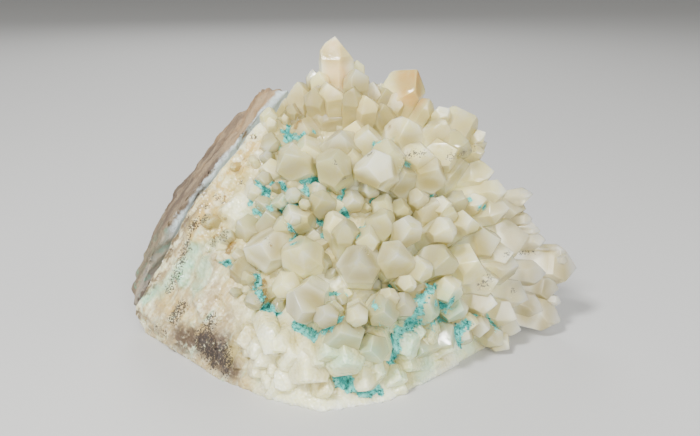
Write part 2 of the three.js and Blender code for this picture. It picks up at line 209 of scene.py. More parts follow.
MASS: Rows = (
    (-43, -7, 0), (-36, -11, 0), (-30, -16, 0), (-24, -26.5, 0), (-14, -33.5, 0), (-5, -37.5, 0),
    (7, -34, 0), (17, -24.5, 0), (28, -13, 0), (31, -3, 0), (30, 12, 0), (21, 25, 0), (6, 33, 0),
    (-14, 35, 0), (-32, 24, 0), (-43, 6, 0),
    (-45.5, -7, 7), (-34, -12, 14), (-24, -20, 12), (-6, -28, 10), (13, -20, 12), (28, -4, 12),
    (28, 11, 15), (16, 24, 16), (-6, 30, 16),
    (-32, -8, 28), (-24, -9, 30), (-6, -15, 24), (10, -12, 24), (23, -1, 26), (18, 12, 28),
    (-19, -2, 45), (-11, -2, 43), (4, -3, 39), (14, 2, 37), (9, 9, 38), (-8, 11, 41), (-3, 3, 45),
)
PLATE: Rows = (
    (-14, 2, 49.5), (-28.5, -4.5, 34), (-35, -6.5, 27), (-40.5, -8.5, 17.5), (-43.5, -8, 7),
    (-18, 5, 49), (-24, 6, 44), (-30.5, 6, 36.5), (-38, 6, 28), (-43.5, 2, 17), (-46.5, -3, 9),
    (-45.5, -4, 4), (-45, 6, 0), (-39, 19, 0), (-30, 29, 0), (-16, 35, 0), (-4, 34, 12),
    (-43, 12, 10), (-38, 20, 18), (-30, 30, 14), (-18, 34, 22), (-22, 23, 36), (-12, 17, 45),
    (0, 24, 34), (-2, 15, 42), (-8, 7, 48),
)

# The grown contact plane, the slope that the rock's beds lie along, and the middle of the mass.

CONTACT_NORMAL = np.array((-0.74, 0.5, 0.45)) / np.linalg.norm((-0.74, 0.5, 0.45))
CONTACT_OFFSET = 31.5
SLOPE_NORMAL = np.array((-0.79, 0.18, 0.58)) / np.linalg.norm((-0.79, 0.18, 0.58))
DOWN = np.array((0.0, 0.0, -1.0))
HEART = np.array((2.0, 0.0, 12.0))

# Stains by where the main view shows them, in its pixels: start across, start down, end across,
# end down, reach, strength.

COPPER = (
    (261, 186, 266, 198, 5, 1.0), (254, 206, 268, 212, 5, 0.65), (268, 186, 282, 188, 4, 0.9),
    (283, 202, 283, 206, 3, 0.9), (281, 208, 297, 208, 3, 0.8), (287, 223, 289, 230, 4, 0.9),
    (292, 234, 296, 247, 4, 0.8), (319, 224, 320, 238, 4, 0.9), (301, 181, 319, 185, 5, 0.9),
    (303, 192, 304, 197, 4, 0.8), (340, 190, 342, 216, 5, 1.0), (358, 238, 368, 226, 3, 0.8),
    (371, 201, 374, 205, 3, 0.8), (280, 147, 289, 130, 4, 0.7), (291, 134, 311, 134, 4, 0.8),
    (429, 195, 435, 199, 4, 0.7), (472, 203, 481, 206, 4, 0.8), (253, 278, 256, 292, 5, 1.0),
    (256, 292, 262, 308, 5, 1.0), (262, 308, 279, 317, 6, 1.0), (299, 328, 318, 340, 6, 1.0),
    (323, 297, 344, 297, 3, 0.8), (328, 330, 343, 320, 5, 0.9), (337, 374, 352, 380, 8, 1.0),
    (352, 386, 366, 394, 5, 1.0), (366, 390, 379, 393, 5, 0.9), (379, 302, 381, 310, 4, 0.9),
    (387, 356, 399, 345, 6, 1.0), (396, 342, 408, 327, 6, 1.0), (416, 324, 421, 319, 4, 0.8),
    (421, 308, 428, 290, 6, 0.9), (433, 306, 448, 298, 5, 0.9), (449, 297, 449, 316, 4, 0.8),
    (456, 340, 465, 328, 6, 1.0), (478, 315, 486, 322, 4, 0.7), (489, 326, 496, 333, 4, 0.7),
    (391, 290, 398, 283, 4, 0.8), (398, 164, 412, 161, 5, 0.5), (378, 148, 391, 142, 4, 0.6),
    (221, 258, 229, 260, 4, 1.0), (145, 298, 166, 284, 4, 0.8), (176, 262, 186, 250, 4, 0.45),
    (412, 312, 428, 306, 6, 0.6), (432, 326, 446, 316, 6, 0.5), (404, 336, 448, 306, 15, 0.36),
    (352, 330, 392, 322, 10, 0.3), (262, 205, 330, 190, 12, 0.3), (150, 296, 178, 262, 5, 0.4),
)
IRON = (
    (387, 131, 389, 127, 3, 0.9), (295, 126, 299, 121, 4, 0.9), (452, 156, 473, 150, 5, 0.45),
    (268, 243, 272, 246, 3, 0.9), (565, 285, 565, 285, 3, 0.8), (400, 348, 403, 344, 3, 0.6),
    (225, 195, 225, 195, 4, 0.7), (245, 160, 245, 160, 4, 0.6), (228, 252, 233, 243, 4, 1.0),
    (221, 292, 220, 308, 4, 0.5), (253, 137, 253, 137, 4, 0.6), (188, 308, 188, 308, 4, 0.6),
    (263, 282, 266, 302, 5, 1.0), (419, 297, 428, 283, 4, 0.9), (392, 288, 393, 280, 3, 0.8),
    (205, 216, 205, 216, 4, 0.5), (213, 238, 222, 230, 5, 0.6),
)
SOOT = (
    (335, 163, 335, 163, 3, 0.9), (345, 178, 345, 178, 3, 0.8), (369, 155, 373, 153, 3, 0.9),
    (404, 157, 423, 152, 4, 0.5), (452, 156, 473, 150, 4, 0.5), (480, 285, 490, 277, 4, 0.7),
    (263, 239, 264, 241, 3, 0.9), (507, 253, 509, 254, 3, 0.8), (521, 251, 531, 251, 3, 0.7),
    (513, 293, 513, 293, 3, 0.9), (365, 250, 365, 250, 3, 0.8), (204, 342, 216, 356, 12, 1.0),
    (220, 350, 228, 366, 9, 0.85), (207, 330, 212, 318, 6, 0.7), (174, 313, 179, 306, 5, 0.9),
    (156, 326, 158, 327, 3, 0.9), (215, 242, 224, 230, 5, 0.55), (254, 137, 254, 137, 3, 0.8),
    (241, 182, 241, 182, 3, 0.8), (224, 201, 224, 201, 3, 0.8), (217, 197, 217, 197, 3, 0.8),
    (206, 206, 206, 206, 3, 0.8), (193, 226, 206, 218, 3, 0.9), (263, 300, 266, 308, 4, 0.6),
    (184, 250, 190, 238, 4, 0.6), (176, 275, 178, 262, 3, 0.5), (190, 228, 206, 217, 5, 0.75),
    (180, 262, 188, 246, 5, 0.7), (168, 290, 178, 272, 5, 0.65), (172, 320, 182, 306, 6, 0.8),
    (150, 330, 166, 334, 4, 0.45), (226, 236, 214, 240, 4, 0.5),
)
MAUVE = ((182, 338, 222, 345, 15, 1.0), (206, 345, 232, 368, 14, 1.0), (150, 325, 165, 330, 8, 0.3))
OCHRE = (
    (165, 300, 200, 330, 12, 0.5), (238, 258, 222, 305, 8, 0.6), (225, 195, 250, 150, 10, 0.6),
    (208, 215, 232, 240, 9, 0.6), (196, 232, 250, 146, 15, 0.95), (235, 375, 250, 392, 8, 0.4),
    (230, 365, 240, 372, 6, 0.4),
)
GREEN = (
    (410, 332, 450, 304, 17, 1.0), (255, 215, 290, 200, 12, 0.5), (182, 280, 196, 248, 8, 1.0),
    (160, 292, 186, 262, 7, 0.8), (146, 300, 160, 288, 6, 0.9), (205, 262, 196, 290, 10, 0.6),
    (200, 250, 230, 230, 8, 0.4), (340, 350, 420, 360, 26, 0.8), (440, 335, 470, 350, 14, 0.5),
    (303, 225, 303, 240, 9, 0.5), (380, 310, 420, 330, 16, 0.5),
)
PEACH = (
    (300, 112, 400, 106, 26, 0.28), (440, 130, 470, 125, 16, 0.16), (334, 50, 338, 78, 13, 0.7),
    (410, 76, 414, 96, 16, 1.0), (330, 100, 350, 92, 12, 0.3),
)
STAINS = {"iron": IRON, "soot": SOOT, "mauve": MAUVE, "ochre": OCHRE, "green": GREEN,
          "peach": PEACH}


def unit(vectors: np.ndarray) -> np.ndarray:
    """Vectors scaled to length one along their last axis."""
    return vectors / np.maximum(np.linalg.norm(vectors, axis=-1, keepdims=True), 1e-12)


def share(number: np.ndarray | float, salt: np.ndarray | float) -> np.ndarray:
    """Deterministic spread, 0 to 1: the fraction of a large sine of the two numbers."""
    wave = np.sin(np.asarray(number) * 12.9898 + np.asarray(salt) * 78.233) * 43758.5453
    return wave - np.floor(wave)


def smooth_step(low: float, high: float, value: np.ndarray) -> np.ndarray:
    """Rises from 0 at low to 1 at high with level ends: 3t^2 - 2t^3."""
    t = np.clip((value - low) / (high - low), 0.0, 1.0)
    return t * t * (3.0 - 2.0 * t)


def lattice_noise(points: np.ndarray, spacing: float, seed: int) -> np.ndarray:
    """Smooth value noise, -1 to 1.

    Each lattice corner has a value hashed from its whole-number place, and a point takes the
    blend of its cell's eight corners, weighted by smooth steps along the three axes.

    Args:
        points: (N, 3) places, in millimetres.
        spacing: Lattice spacing, in millimetres.
        seed: Picks the pattern.

    Returns:
        (N,) noise values.
    """
    scaled = points / spacing + seed * 17.31
    cell = np.floor(scaled).astype(np.int64)
    t = scaled - cell
    t = t * t * (3.0 - 2.0 * t)
    total, primes = np.zeros(len(points)), np.array(HASH_PRIMES)
    for corner in product((0, 1), repeat=3):
        x, y, z = (cell + corner).T * primes[:3, None]
        mixed = x ^ y ^ z ^ (seed * primes[3])
        mixed = (mixed ^ (mixed >> 13)) * HASH_MIXER
        weight = np.where(corner, t, 1 - t).prod(axis=1)
        total += weight * (((mixed ^ (mixed >> 16)) & HASH_MASK) / float(HASH_MASK))
    return total * 2.0 - 1.0


def layered_noise(points: np.ndarray, spacing: float, seed: int, layers: int = 3) -> np.ndarray:
    """Sum of lattice noises, each at half the spacing and half the height of the one before."""
    return sum(lattice_noise(points, spacing / 2**k, seed + k) / 2**k for k in range(layers))


def headings(turn: np.ndarray, rise: np.ndarray) -> np.ndarray:
    """Unit headings: turned from -Y towards +X, then raised. Degrees in, (N, 3) out."""
    t, r = np.radians(turn), np.radians(rise)
    return np.stack([np.sin(t) * np.cos(r), -np.cos(t) * np.cos(r), np.sin(r)], axis=-1)


@dataclass(frozen=True)
class Habit:
    """The habit of a quartz crystal, and the planes that follow from it.

    A crystal lies behind thirteen planes: a root, six prism faces round the axis at uneven
    distances, and six pyramid faces that lean back from them. Three of these meet in the tip, but
    one of the three is set in and so grown large, and the other three are set out a little.
    """

    pyramid_slope: float = 38.2
    face_spread: float = 0.14
    least_set_out: float = 0.04
    most_set_out: float = 0.42
    most_set_in: float = 0.34
    chamfer: float = 0.13

    def planes(self, rows: np.ndarray, numbers: np.ndarray) -> tuple[np.ndarray, np.ndarray]:
        """Planes of many crystals.

        Args:
            rows: (N, 7) crystal rows, in millimetres and degrees.
            numbers: (N,) numbers that the uneven distances are drawn from.

        Returns:
            Outward normals (N, 13, 3) and offsets (N, 13), in millimetres.
        """
        tip, radius = rows[:, :3], rows[:, 5] / 2
        axis = headings(rows[:, 3], rows[:, 4])
        side = np.cross(np.broadcast_to((0.0, 0.0, 1.0), axis.shape), axis)
        side = unit(np.where(np.linalg.norm(side, axis=1, keepdims=True) < 0.1, (1.0, 0, 0), side))
        other = np.cross(axis, side)
        face = np.arange(6)
        angle = (share(numbers, 1)[:, None] + face) * math.pi / 3
        out = np.cos(angle)[..., None] * side[:, None] + np.sin(angle)[..., None] * other[:, None]
        slope = math.radians(self.pyramid_slope)
        lean = math.cos(slope) * out + math.sin(slope) * axis[:, None]
        stand = 1 + self.face_spread * (2 * share(numbers[:, None], 10 + face) - 1)
        spread = self.most_set_out - self.least_set_out
        set_out = self.least_set_out + spread * share(numbers[:, None], 20 + face)
        set_in = -self.most_set_in * share(numbers, 32)[:, None]
        leading = 2 * np.floor(3 * share(numbers, 31))[:, None] == face
        whole_tip = (numbers > 1)[:, None]
        tip_faces = np.where(leading & whole_tip, set_in, np.where(face % 2, set_out, 0))
        at_tip = np.einsum("nfk,nk->nf", np.concatenate([out, lean], axis=1), tip)
        offsets = at_tip + radius[:, None] * np.concatenate([stand, tip_faces], axis=1)
        root = -np.einsum("nk,nk->n", axis, tip - axis * rows[:, 6:7])
        normals = np.concatenate([-axis[:, None], out, lean], axis=1)
        return normals, np.concatenate([root[:, None], offsets], axis=1)

    def corners(self, normals: np.ndarray, offsets: np.ndarray) -> list[np.ndarray]:
        """Chamfered corners of many crystals.

        Every three planes meet in a point, and a point that no plane cuts off is a corner. Each
        corner is then moved along each of its faces towards the middle of that face, by the
        chamfer, so that the hull of the moved corners has a narrow facet along every edge.

        Args:
            normals: (N, 13, 3) outward normals.
            offsets: (N, 13) offsets along them.

        Returns:
            One (M, 3) array of points for each crystal.
        """
        triples = np.array(list(combinations(range(normals.shape[1]), 3)))
        system = normals[:, triples]
        usable = np.abs(np.linalg.det(system)) > NEARLY_PARALLEL
        system = np.where(usable[..., None, None], system, np.eye(3))
        meets = np.linalg.solve(system, offsets[:, triples][..., None])[..., 0]
        height = np.einsum("nmk,nfk->nmf", meets, normals) - offsets[:, None]
        kept = usable & (height < INSIDE).all(axis=-1)
        result = []
        for meet, keep, distance in zip(meets, kept, height):
            point, first = np.unique(np.round(meet[keep], 3), axis=0, return_index=True)
            on_face = np.abs(distance[keep][first]) < ON_FACE
            middle = (on_face.T @ point) / np.maximum(on_face.sum(axis=0), 1)[:, None]
            corner, face = np.nonzero(on_face)
            towards = middle[face] - point[corner]
            reach = np.linalg.norm(towards, axis=1, keepdims=True)
            step = np.minimum(self.chamfer, 0.3 * reach) / np.maximum(reach, 1e-9)
            result.append(point[corner] + towards * step)
        return result


def hull_mesh(name: str, points: np.ndarray, owner: int) -> bpy.types.Mesh:
    """Mesh of the convex hull of points in millimetres, its faces marked with their owner.

    Args:
        name: The mesh's name.
        points: (N, 3) points.
        owner: Number of its owner.

    Returns:
        The closed mesh.
    """
    shape = bmesh.new()
    for point in points * MM:
        shape.verts.new(point)
    made = bmesh.ops.convex_hull(shape, input=shape.verts)
    spare = {part for part in made["geom_interior"] + made["geom_unused"]
             if isinstance(part, bmesh.types.BMVert)}
    bmesh.ops.delete(shape, geom=list(spare), context="VERTS")
    bmesh.ops.dissolve_limit(shape, angle_limit=FLAT_ANGLE, verts=shape.verts, edges=shape.edges)
    bmesh.ops.recalc_face_normals(shape, faces=shape.faces)
    mesh = bpy.data.meshes.new(name)
    shape.to_mesh(mesh)
    shape.free()
    mark_owner(mesh, owner)
    return mesh


def mark_owner(mesh: bpy.types.Mesh, owner: int) -> None:
    """Writes the owner's number on every face."""
    marks = mesh.attributes.new("owner", "INT", "FACE")
    marks.data.foreach_set("value", np.full(len(mesh.polygons), owner, dtype=np.int32))


def linked(data: bpy.types.ID, home: bpy.types.Collection | None = None) -> bpy.types.Object:
    """Object of a mesh, light or camera, in the scene or in the given collection.

    Args:
        data: The mesh, light or camera.
        home: The collection; without one, the scene's.

    Returns:
        The object.
    """
    item = bpy.data.objects.new(data.name, data)
    (home or bpy.context.scene.collection).objects.link(item)
    return item


def applied(item: bpy.types.Object) -> bpy.types.Mesh:
    """Mesh of an object with its modifiers worked in; the object itself is removed.

    Args:
        item: The object.

    Returns:
        A new mesh.
    """
    evaluated = item.evaluated_get(bpy.context.evaluated_depsgraph_get())
    mesh = bpy.data.meshes.new_from_object(evaluated)
    bpy.data.objects.remove(item)
    return mesh


def joined(base: bpy.types.Mesh, others: Iterable[bpy.types.Mesh],
           operation: str = "UNION") -> bpy.types.Mesh:
    """One closed mesh from a base and others, joined or cut away.

    Args:
        base: The mesh that is worked on.
        others: Closed meshes to join or cut away.
        operation: UNION or DIFFERENCE.

    Returns:
        A new mesh.
    """
    home = bpy.data.collections.new("joining")
    bpy.context.scene.collection.children.link(home)
    for mesh in others:
        linked(mesh, home)
    item = linked(base)
    step = item.modifiers.new("join", "BOOLEAN")
    step.solver = "MANIFOLD"
    step.operation = operation
    step.operand_type = "COLLECTION"
    step.collection = home
    mesh = applied(item)
    for other in list(home.objects):
        bpy.data.objects.remove(other)
    bpy.data.collections.remove(home)
    return mesh


def block_beyond(normal: np.ndarray, offset: float, half: float = 200) -> bpy.types.Mesh:
    """Large block on the far side of a plane, for cutting. Lengths in millimetres.

    Args:
        normal: Unit normal of the plane, towards its far side.
        offset: The plane's distance along it, in millimetres.
        half: Half the block's breadth, and its depth.

    Returns:
        The closed block.
    """
    side = unit(np.cross(normal, (0.3, 0.9, 0.2)))
    other = np.cross(normal, side)
    corners = [normal * (offset + depth) + side * a + other * b
               for depth, a, b in product((0, half), (-half, half), (-half, half))]
    return hull_mesh("cutter", np.array(corners), Owner.CUT.value)


def cut_off(mesh: bpy.types.Mesh, normal: np.ndarray, offset: float) -> bpy.types.Mesh:
    """The mesh without what lies beyond a plane or below the floor, and tidied.

    Args:
        mesh: A closed mesh.
        normal: Unit normal of the plane, towards its far side.
        offset: The plane's distance along it, in millimetres.

    Returns:
        A new mesh.
    """
    whole = joined(mesh, (block_beyond(normal, offset), block_beyond(DOWN, 0.0)), "DIFFERENCE")
    tidied(whole)
    return whole


def remeshed(mesh: bpy.types.Mesh, cell: float) -> bpy.types.Mesh:
    """The same body as an even skin of small faces. The cell is in millimetres.

    Args:
        mesh: A closed mesh.
        cell: Size of the cells.

    Returns:
        A new mesh.
    """
    item = linked(mesh)
    step = item.modifiers.new("even", "REMESH")
    step.mode = "VOXEL"
    step.voxel_size = cell * MM
    return applied(item)


def read(data: bpy.types.bpy_prop_collection, name: str, kind: type = np.int32,
         width: int = 1) -> np.ndarray:
    """A number, or a row of numbers, of each element of a mesh's list.

    Args:
        data: The list, such as a mesh's vertices.
        name: Property of its elements.
        kind: Type of the numbers.
        width: How many numbers each has.

    Returns:
        (N,) numbers, or (N, width) rows.
    """
    flat = np.empty(len(data) * width, dtype=kind)
    data.foreach_get(name, flat)
    return flat if width == 1 else flat.reshape(-1, width)


def vertex_array(mesh: bpy.types.Mesh) -> np.ndarray:
    """(N, 3) vertex places in millimetres."""
    return read(mesh.vertices, "co", np.float32, 3).astype(float) / MM


def normal_array(mesh: bpy.types.Mesh) -> np.ndarray:
    """(N, 3) unit normals of the vertices."""
    return read(mesh.vertex_normals, "vector", np.float32, 3).astype(float)


def set_vertices(mesh: bpy.types.Mesh, places: np.ndarray) -> None:
    """Puts the vertices at places in millimetres."""
    mesh.vertices.foreach_set("co", (places * MM).astype(np.float32).ravel())
    mesh.update()


def boxed(places: np.ndarray) -> np.ndarray:
    """Places in millimetres, moved inside the CAD box."""
    low, high = np.array(CAD_BOUNDS) / MM
    return np.clip(places, low, high)


def write_values(mesh: bpy.types.Mesh, name: str, values: np.ndarray,
                 domain: str = "POINT") -> None:
    """Writes one number for each element of a domain, for the material to read."""
    layer = mesh.attributes.new(name, "FLOAT", domain)
    layer.data.foreach_set("value", values.astype(np.float32))


def coat(mesh: bpy.types.Mesh, material: bpy.types.Material) -> None:
    """Gives every face the one material and smooth shading.

    Args:
        mesh: The mesh.
        material: Its material.
    """
    mesh.materials.clear()
    mesh.materials.append(material)
    mesh.polygons.foreach_set("material_index", np.zeros(len(mesh.polygons), dtype=np.int32))
    mesh.polygons.foreach_set("use_smooth", np.ones(len(mesh.polygons), dtype=bool))


def triangles(mesh: bpy.types.Mesh) -> tuple[np.ndarray, np.ndarray]:
    """Vertex numbers (N, 3) of a mesh's triangles, and their corners (N, 3, 3) in millimetres.

    Args:
        mesh: The mesh.

    Returns:
        The numbers and the corners.
    """
    mesh.calc_loop_triangles()
    index = read(mesh.loop_triangles, "vertices", width=3)
    return index, vertex_array(mesh)[index]


def spread_over(corner: np.ndarray, draw: np.random.Generator, count: int,
                weight: np.ndarray | float = 1.0) -> tuple[np.ndarray, np.ndarray]:
    """Draws places over triangles: a face by its area times its weight, then a place on it.

    Args:
        corner: (N, 3, 3) corners of the triangles.
        draw: Source of the draws.
        count: How many places.
        weight: (N,) weights of the triangles, or one for all.

    Returns:
        Places and unit face normals, (count, 3) each.
    """
    start, first, second = corner[:, 0], corner[:, 1] - corner[:, 0], corner[:, 2] - corner[:, 0]
    cross = np.cross(first, second)
    chance = np.linalg.norm(cross, axis=1) * weight
    face = draw.choice(len(chance), size=count, p=chance / chance.sum())
    a, b = draw.random((2, count))
    a, b = np.where(a + b > 1, 1 - a, a)[:, None], np.where(a + b > 1, 1 - b, b)[:, None]
    return start[face] + a * first[face] + b * second[face], unit(cross)[face]


def ledges(height: np.ndarray, rise: float) -> np.ndarray:
    """Saw of a height in layers: each rises over its first share and falls back evenly."""
    saw = height - np.floor(height)
    return smooth_step(0, rise, saw) - saw


def part_labels(mesh: bpy.types.Mesh) -> np.ndarray:
    """For each vertex, the lowest vertex number of the connected part that it belongs to.

    Args:
        mesh: The mesh.

    Returns:
        (N,) labels.
    """
    first, second = read(mesh.edges, "vertices", width=2).T
    label = np.arange(len(mesh.vertices))
    while True:
        lowest = np.minimum(label[first], label[second])
        found = label.copy()
        np.minimum.at(found, first, lowest)
        np.minimum.at(found, second, lowest)
        found = found[found]
        if np.array_equal(found, label):
            return label
        label = found


def tidied(mesh: bpy.types.Mesh, shortest: float = 0.0005) -> None:
    """Takes out closed pockets, and merges ends of edges shorter than a length in millimetres.

    Args:
        mesh: The mesh.
        shortest: The length.
    """
    label = part_labels(mesh)
    strays = np.flatnonzero(label != np.bincount(label).argmax())
    shape = bmesh.new()
    shape.from_mesh(mesh)
    shape.verts.ensure_lookup_table()
    bmesh.ops.delete(shape, geom=[shape.verts[index] for index in strays], context="VERTS")
    bmesh.ops.remove_doubles(shape, verts=shape.verts, dist=shortest * MM)
    loose = [edge for edge in shape.edges if edge.is_wire]
    bmesh.ops.delete(shape, geom=loose, context="EDGES")
    shape.to_mesh(mesh)
    shape.free()


def refined(mesh: bpy.types.Mesh, longest: float, passes: int = 4) -> None:
    """Splits long edges until the faces are small, so that vertex values vary finely.

    Args:
        mesh: The mesh.
        longest: Longest edge that is left whole, in millimetres.
        passes: Most rounds of splitting.
    """
    shape = bmesh.new()
    shape.from_mesh(mesh)
    bmesh.ops.triangulate(shape, faces=shape.faces)
    for _ in range(passes):
        long_edges = [edge for edge in shape.edges if edge.calc_length() > longest * MM]
        if not long_edges:
            break
        bmesh.ops.subdivide_edges(shape, edges=long_edges, cuts=1)
        bmesh.ops.triangulate(shape, faces=[face for face in shape.faces if len(face.verts) > 3])
    shape.to_mesh(mesh)
    shape.free()


class Owner(Enum):
    """Numbers written on faces that don't belong to a crystal."""

    MASS = 9000
    CUT = 9001
    ROCK = 9002
    LUMP = 9003


@dataclass(frozen=True)
class Ring:
    """A ring of crystals behind the cluster. Sizes in millimetres, rise in degrees."""

    z: float
    reach: float
    rise: float
    width: float
    count: int


@dataclass(frozen=True)
class View:
    """The main view: where the camera stands and how far it looks down.

    Place in metres, angle in degrees, lens and sensor in millimetres, width and middle in pixels.
    """

    place: tuple = (0.0, -0.158, 0.076)
    down: float = 18.5
    lens: float = 41.14
    sensor: float = 36.0
    width: float = 700.0
    middle: tuple = (350.0, 218.0)

    @property
    def focal(self) -> float:
        """Focal length in pixels."""
        return self.lens / self.sensor * self.width

    def ray(self, across: float, down: float) -> tuple[np.ndarray, np.ndarray]:
        """Start, in millimetres, and unit direction of the line of sight through a pixel.

        Args:
            across: Pixels from the left.
            down: Pixels from the top.

        Returns:
            Start and direction, (3,) each.
        """
        right, rise = (across - self.middle[0]) / self.focal, (self.middle[1] - down) / self.focal
        low = math.radians(self.down)
        forward = np.array((0.0, math.cos(low), -math.sin(low)))
        upward = np.array((0.0, math.sin(low), math.cos(low)))
        return np.array(self.place) / MM, unit(forward + rise * upward + (right, 0.0, 0.0))


@dataclass(frozen=True)
class StainFinder:
    """Finds stained places on a mesh from where the main view shows them."""

    tree: BVHTree
    view: View = View()
    pace: float = 4.0
    spread: float = 1.25

    def places(self, stain: tuple, seek: float) -> Iterable[tuple[np.ndarray, float]]:
        """Places along a stain's line, each with its reach in millimetres.

        Args:
            stain: Start and end in the view's pixels, reach in pixels, and strength.
            seek: Pixels round each point that are searched for the deepest place.
        """
        x0, y0, x1, y1, reach, _ = stain
        steps = 1 + int(math.hypot(x1 - x0, y1 - y0) / self.pace)
        nudges = (0.0, -seek, seek) if seek else (0.0,)
        for along in np.linspace(0, 1, steps) if steps > 1 else (0.5,):
            x, y = x0 + (x1 - x0) * along, y0 + (y1 - y0) * along
            hits = []
            for dx, dy in product(nudges, repeat=2):
                start, direction = self.view.ray(x + dx, y + dy)
                place, _, _, far = self.tree.ray_cast(Vector(start), Vector(direction))
                if place is not None:
                    hits.append((far, np.array(place)))
            if hits:
                far, place = max(hits, key=lambda hit: hit[0])
                yield place, self.spread * reach * far / self.view.focal

    def field(self, points: np.ndarray, stains: Sequence[tuple], seek: float = 0.0) -> np.ndarray:
        """Strongest stain at each point: full in the inner third of its reach, then falling.

        Args:
            points: (N, 3) places, in millimetres.
            stains: Rows of a stain table.
            seek: Pixels searched round each place.

        Returns:
            (N,) strengths, 0 to 1.
        """
        strength = np.zeros(len(points))
        for stain in stains:
            for place, reach in self.places(stain, seek):
                distance = np.linalg.norm(points - place, axis=1) / reach
                strength = np.maximum(strength, stain[5] * smooth_step(1.2, 0.35, distance))
        return strength


@dataclass
class QuartzCluster:
    """The grown cluster: massive quartz, main crystals and the small ones between them."""

    habit: Habit = Habit()
    rings: tuple[Ring, ...] = (
        Ring(7, 38, 2, 7, 6), Ring(17, 37, 12, 7.5, 6), Ring(27, 32, 26, 7.5, 5),
        Ring(37, 25, 42, 6.5, 5), Ring(46, 16, 58, 6.5, 3),
    )
    ring_turns: tuple[float, float] = (104, 214)
    ring_length: float = 22
    mass_cell: float = 0.7
    infill_count: int = 700
    worn: Habit = Habit(chamfer=0.75, face_spread=0.2)
    small_lumps: int = 46
    seed: int = 11
    sharp_angle: float = math.radians(24)

    def back_rows(self) -> np.ndarray:
        """Rows of the crystals of the right and the back, worked out from the rings.

        Returns:
            (N, 7) rows.
        """
        rows = []
        first, last = self.ring_turns
        for index, ring in enumerate(self.rings):
            place = np.arange(ring.count)
            number = 200 + index * 10 + place
            slide, push, lift, twist, tilt = (share(number, salt) - 0.5 for salt in range(2, 7))
            along = (place + 0.5 * (index % 2)) / ring.count + 0.06 * slide
            turn = first + (last - first) * along
            stand = ring.reach * (1 + 0.08 * push)
            tip = HEART[:2] + headings(turn, np.zeros(ring.count))[:, :2] * stand[:, None]
            rows.append(np.column_stack([
                tip, ring.z + 3 * lift, turn + 16 * twist, ring.rise + 14 * tilt,
                ring.width * (0.75 + 0.5 * share(number, 7)), np.full(ring.count, self.ring_length),
            ]))
        return np.concatenate(rows)

    def main_rows(self) -> tuple[np.ndarray, np.ndarray]:
        """Rows of the large crystals, with the numbers that their uneven faces are drawn from.

        Returns:
            (N, 7) rows and (N,) numbers.
        """
        front_rows = np.concatenate([np.array(rows, dtype=float) for rows in FRONT])
        lumps = len(FOOT) + len(BROKEN_SLOPE)
        back = self.back_rows()
        after = len(front_rows) + lumps
        numbers = np.concatenate([np.arange(len(front_rows)), after + np.arange(len(back))])
        return np.concatenate([front_rows, back]), numbers

    def infill_rows(self) -> np.ndarray:
        """Rows of small crystals spread over the mass, each leaning out from the heart.

        Places are drawn evenly over the faces of the mass's hull; those on the broken slope, low on
        the front foot, on the underside or beyond the contact plane are left out.

        Returns:
            (N, 7) rows.
        """
        draw, count = np.random.default_rng(self.seed), self.infill_count
        mesh = hull_mesh("sample", np.array(MASS, dtype=float), Owner.MASS.value)
        base, normal = spread_over(triangles(mesh)[1], draw, count)
        bpy.data.meshes.remove(mesh)
        lean = unit(normal + 0.5 * unit(base - HEART) + 0.45 * draw.normal(size=(count, 3)))
        width = 1.6 + 2.4 * draw.random(count) ** 1.6
        tip = base + lean * (0.8 + width * (0.55 + 0.5 * draw.random(count)))[:, None]
        on_slope = (normal @ SLOPE_NORMAL > 0.55) | ((normal[:, 0] < -0.5) & (normal[:, 1] < 0))
        on_foot = (tip[:, 2] < 10) & (tip[:, 1] < -8)
        beyond = tip @ CONTACT_NORMAL > CONTACT_OFFSET - 1.5
        unseen = (normal[:, 2] < -0.5) | beyond | (tip[:, 2] < 1.5)
        kept = ~(on_slope | on_foot | unseen)
        turn = np.degrees(np.arctan2(lean[:, 0], -lean[:, 1]))
        rise = np.degrees(np.arcsin(np.clip(lean[:, 2], -1, 1)))
        return np.column_stack([tip, turn, rise, width, width + 5])[kept]

    def crystal_meshes(self, rows: np.ndarray, numbers: np.ndarray,
                       first: int) -> list[bpy.types.Mesh]:
        """One closed mesh for each crystal row, marked with its place in the list."""
        shapes = self.habit.corners(*self.habit.planes(rows, numbers))
        return [hull_mesh("crystal", points, first + place) for place, points in enumerate(shapes)]

    def foot_lumps(self, numbers: np.ndarray) -> tuple[list[bpy.types.Mesh], np.ndarray]:
        """Blunt, worn lumps of the front foot: the large ones and smaller ones between them.

        Args:
            numbers: Numbers that the large lumps' uneven faces are drawn from.

        Returns:
            The lumps' meshes and their tips.
        """
        draw = np.random.default_rng(self.seed + 1)
        count = self.small_lumps
        along = draw.random(count)
        edge = np.array(FOOT_EDGE, dtype=float)
        stops = np.linspace(0, 1, len(edge))
        base = np.column_stack([np.interp(along, stops, edge[:, axis]) for axis in range(3)])
        turn = np.interp(along, stops, FOOT_TURNS) + 16 * draw.normal(size=count)
        rise = -18 + 50 * draw.random(count)
        width = 3.2 + 3.4 * draw.random(count)
        lean = headings(turn, rise)
        raised = base + (0, 0, 1) * (9.5 * draw.random(count))[:, None]
        tip = raised + lean * (0.5 + 0.8 * draw.random(count))[:, None]
        small = np.column_stack([tip, turn, rise, width, width + 6])
        rows = np.concatenate([np.array(FOOT, dtype=float), small])
        numbers = np.concatenate([numbers, 3000 + np.arange(count)])
        shapes = self.worn.corners(*self.worn.planes(rows, numbers))
        return [hull_mesh("lump", points, Owner.LUMP.value) for points in shapes], rows[:, :3]

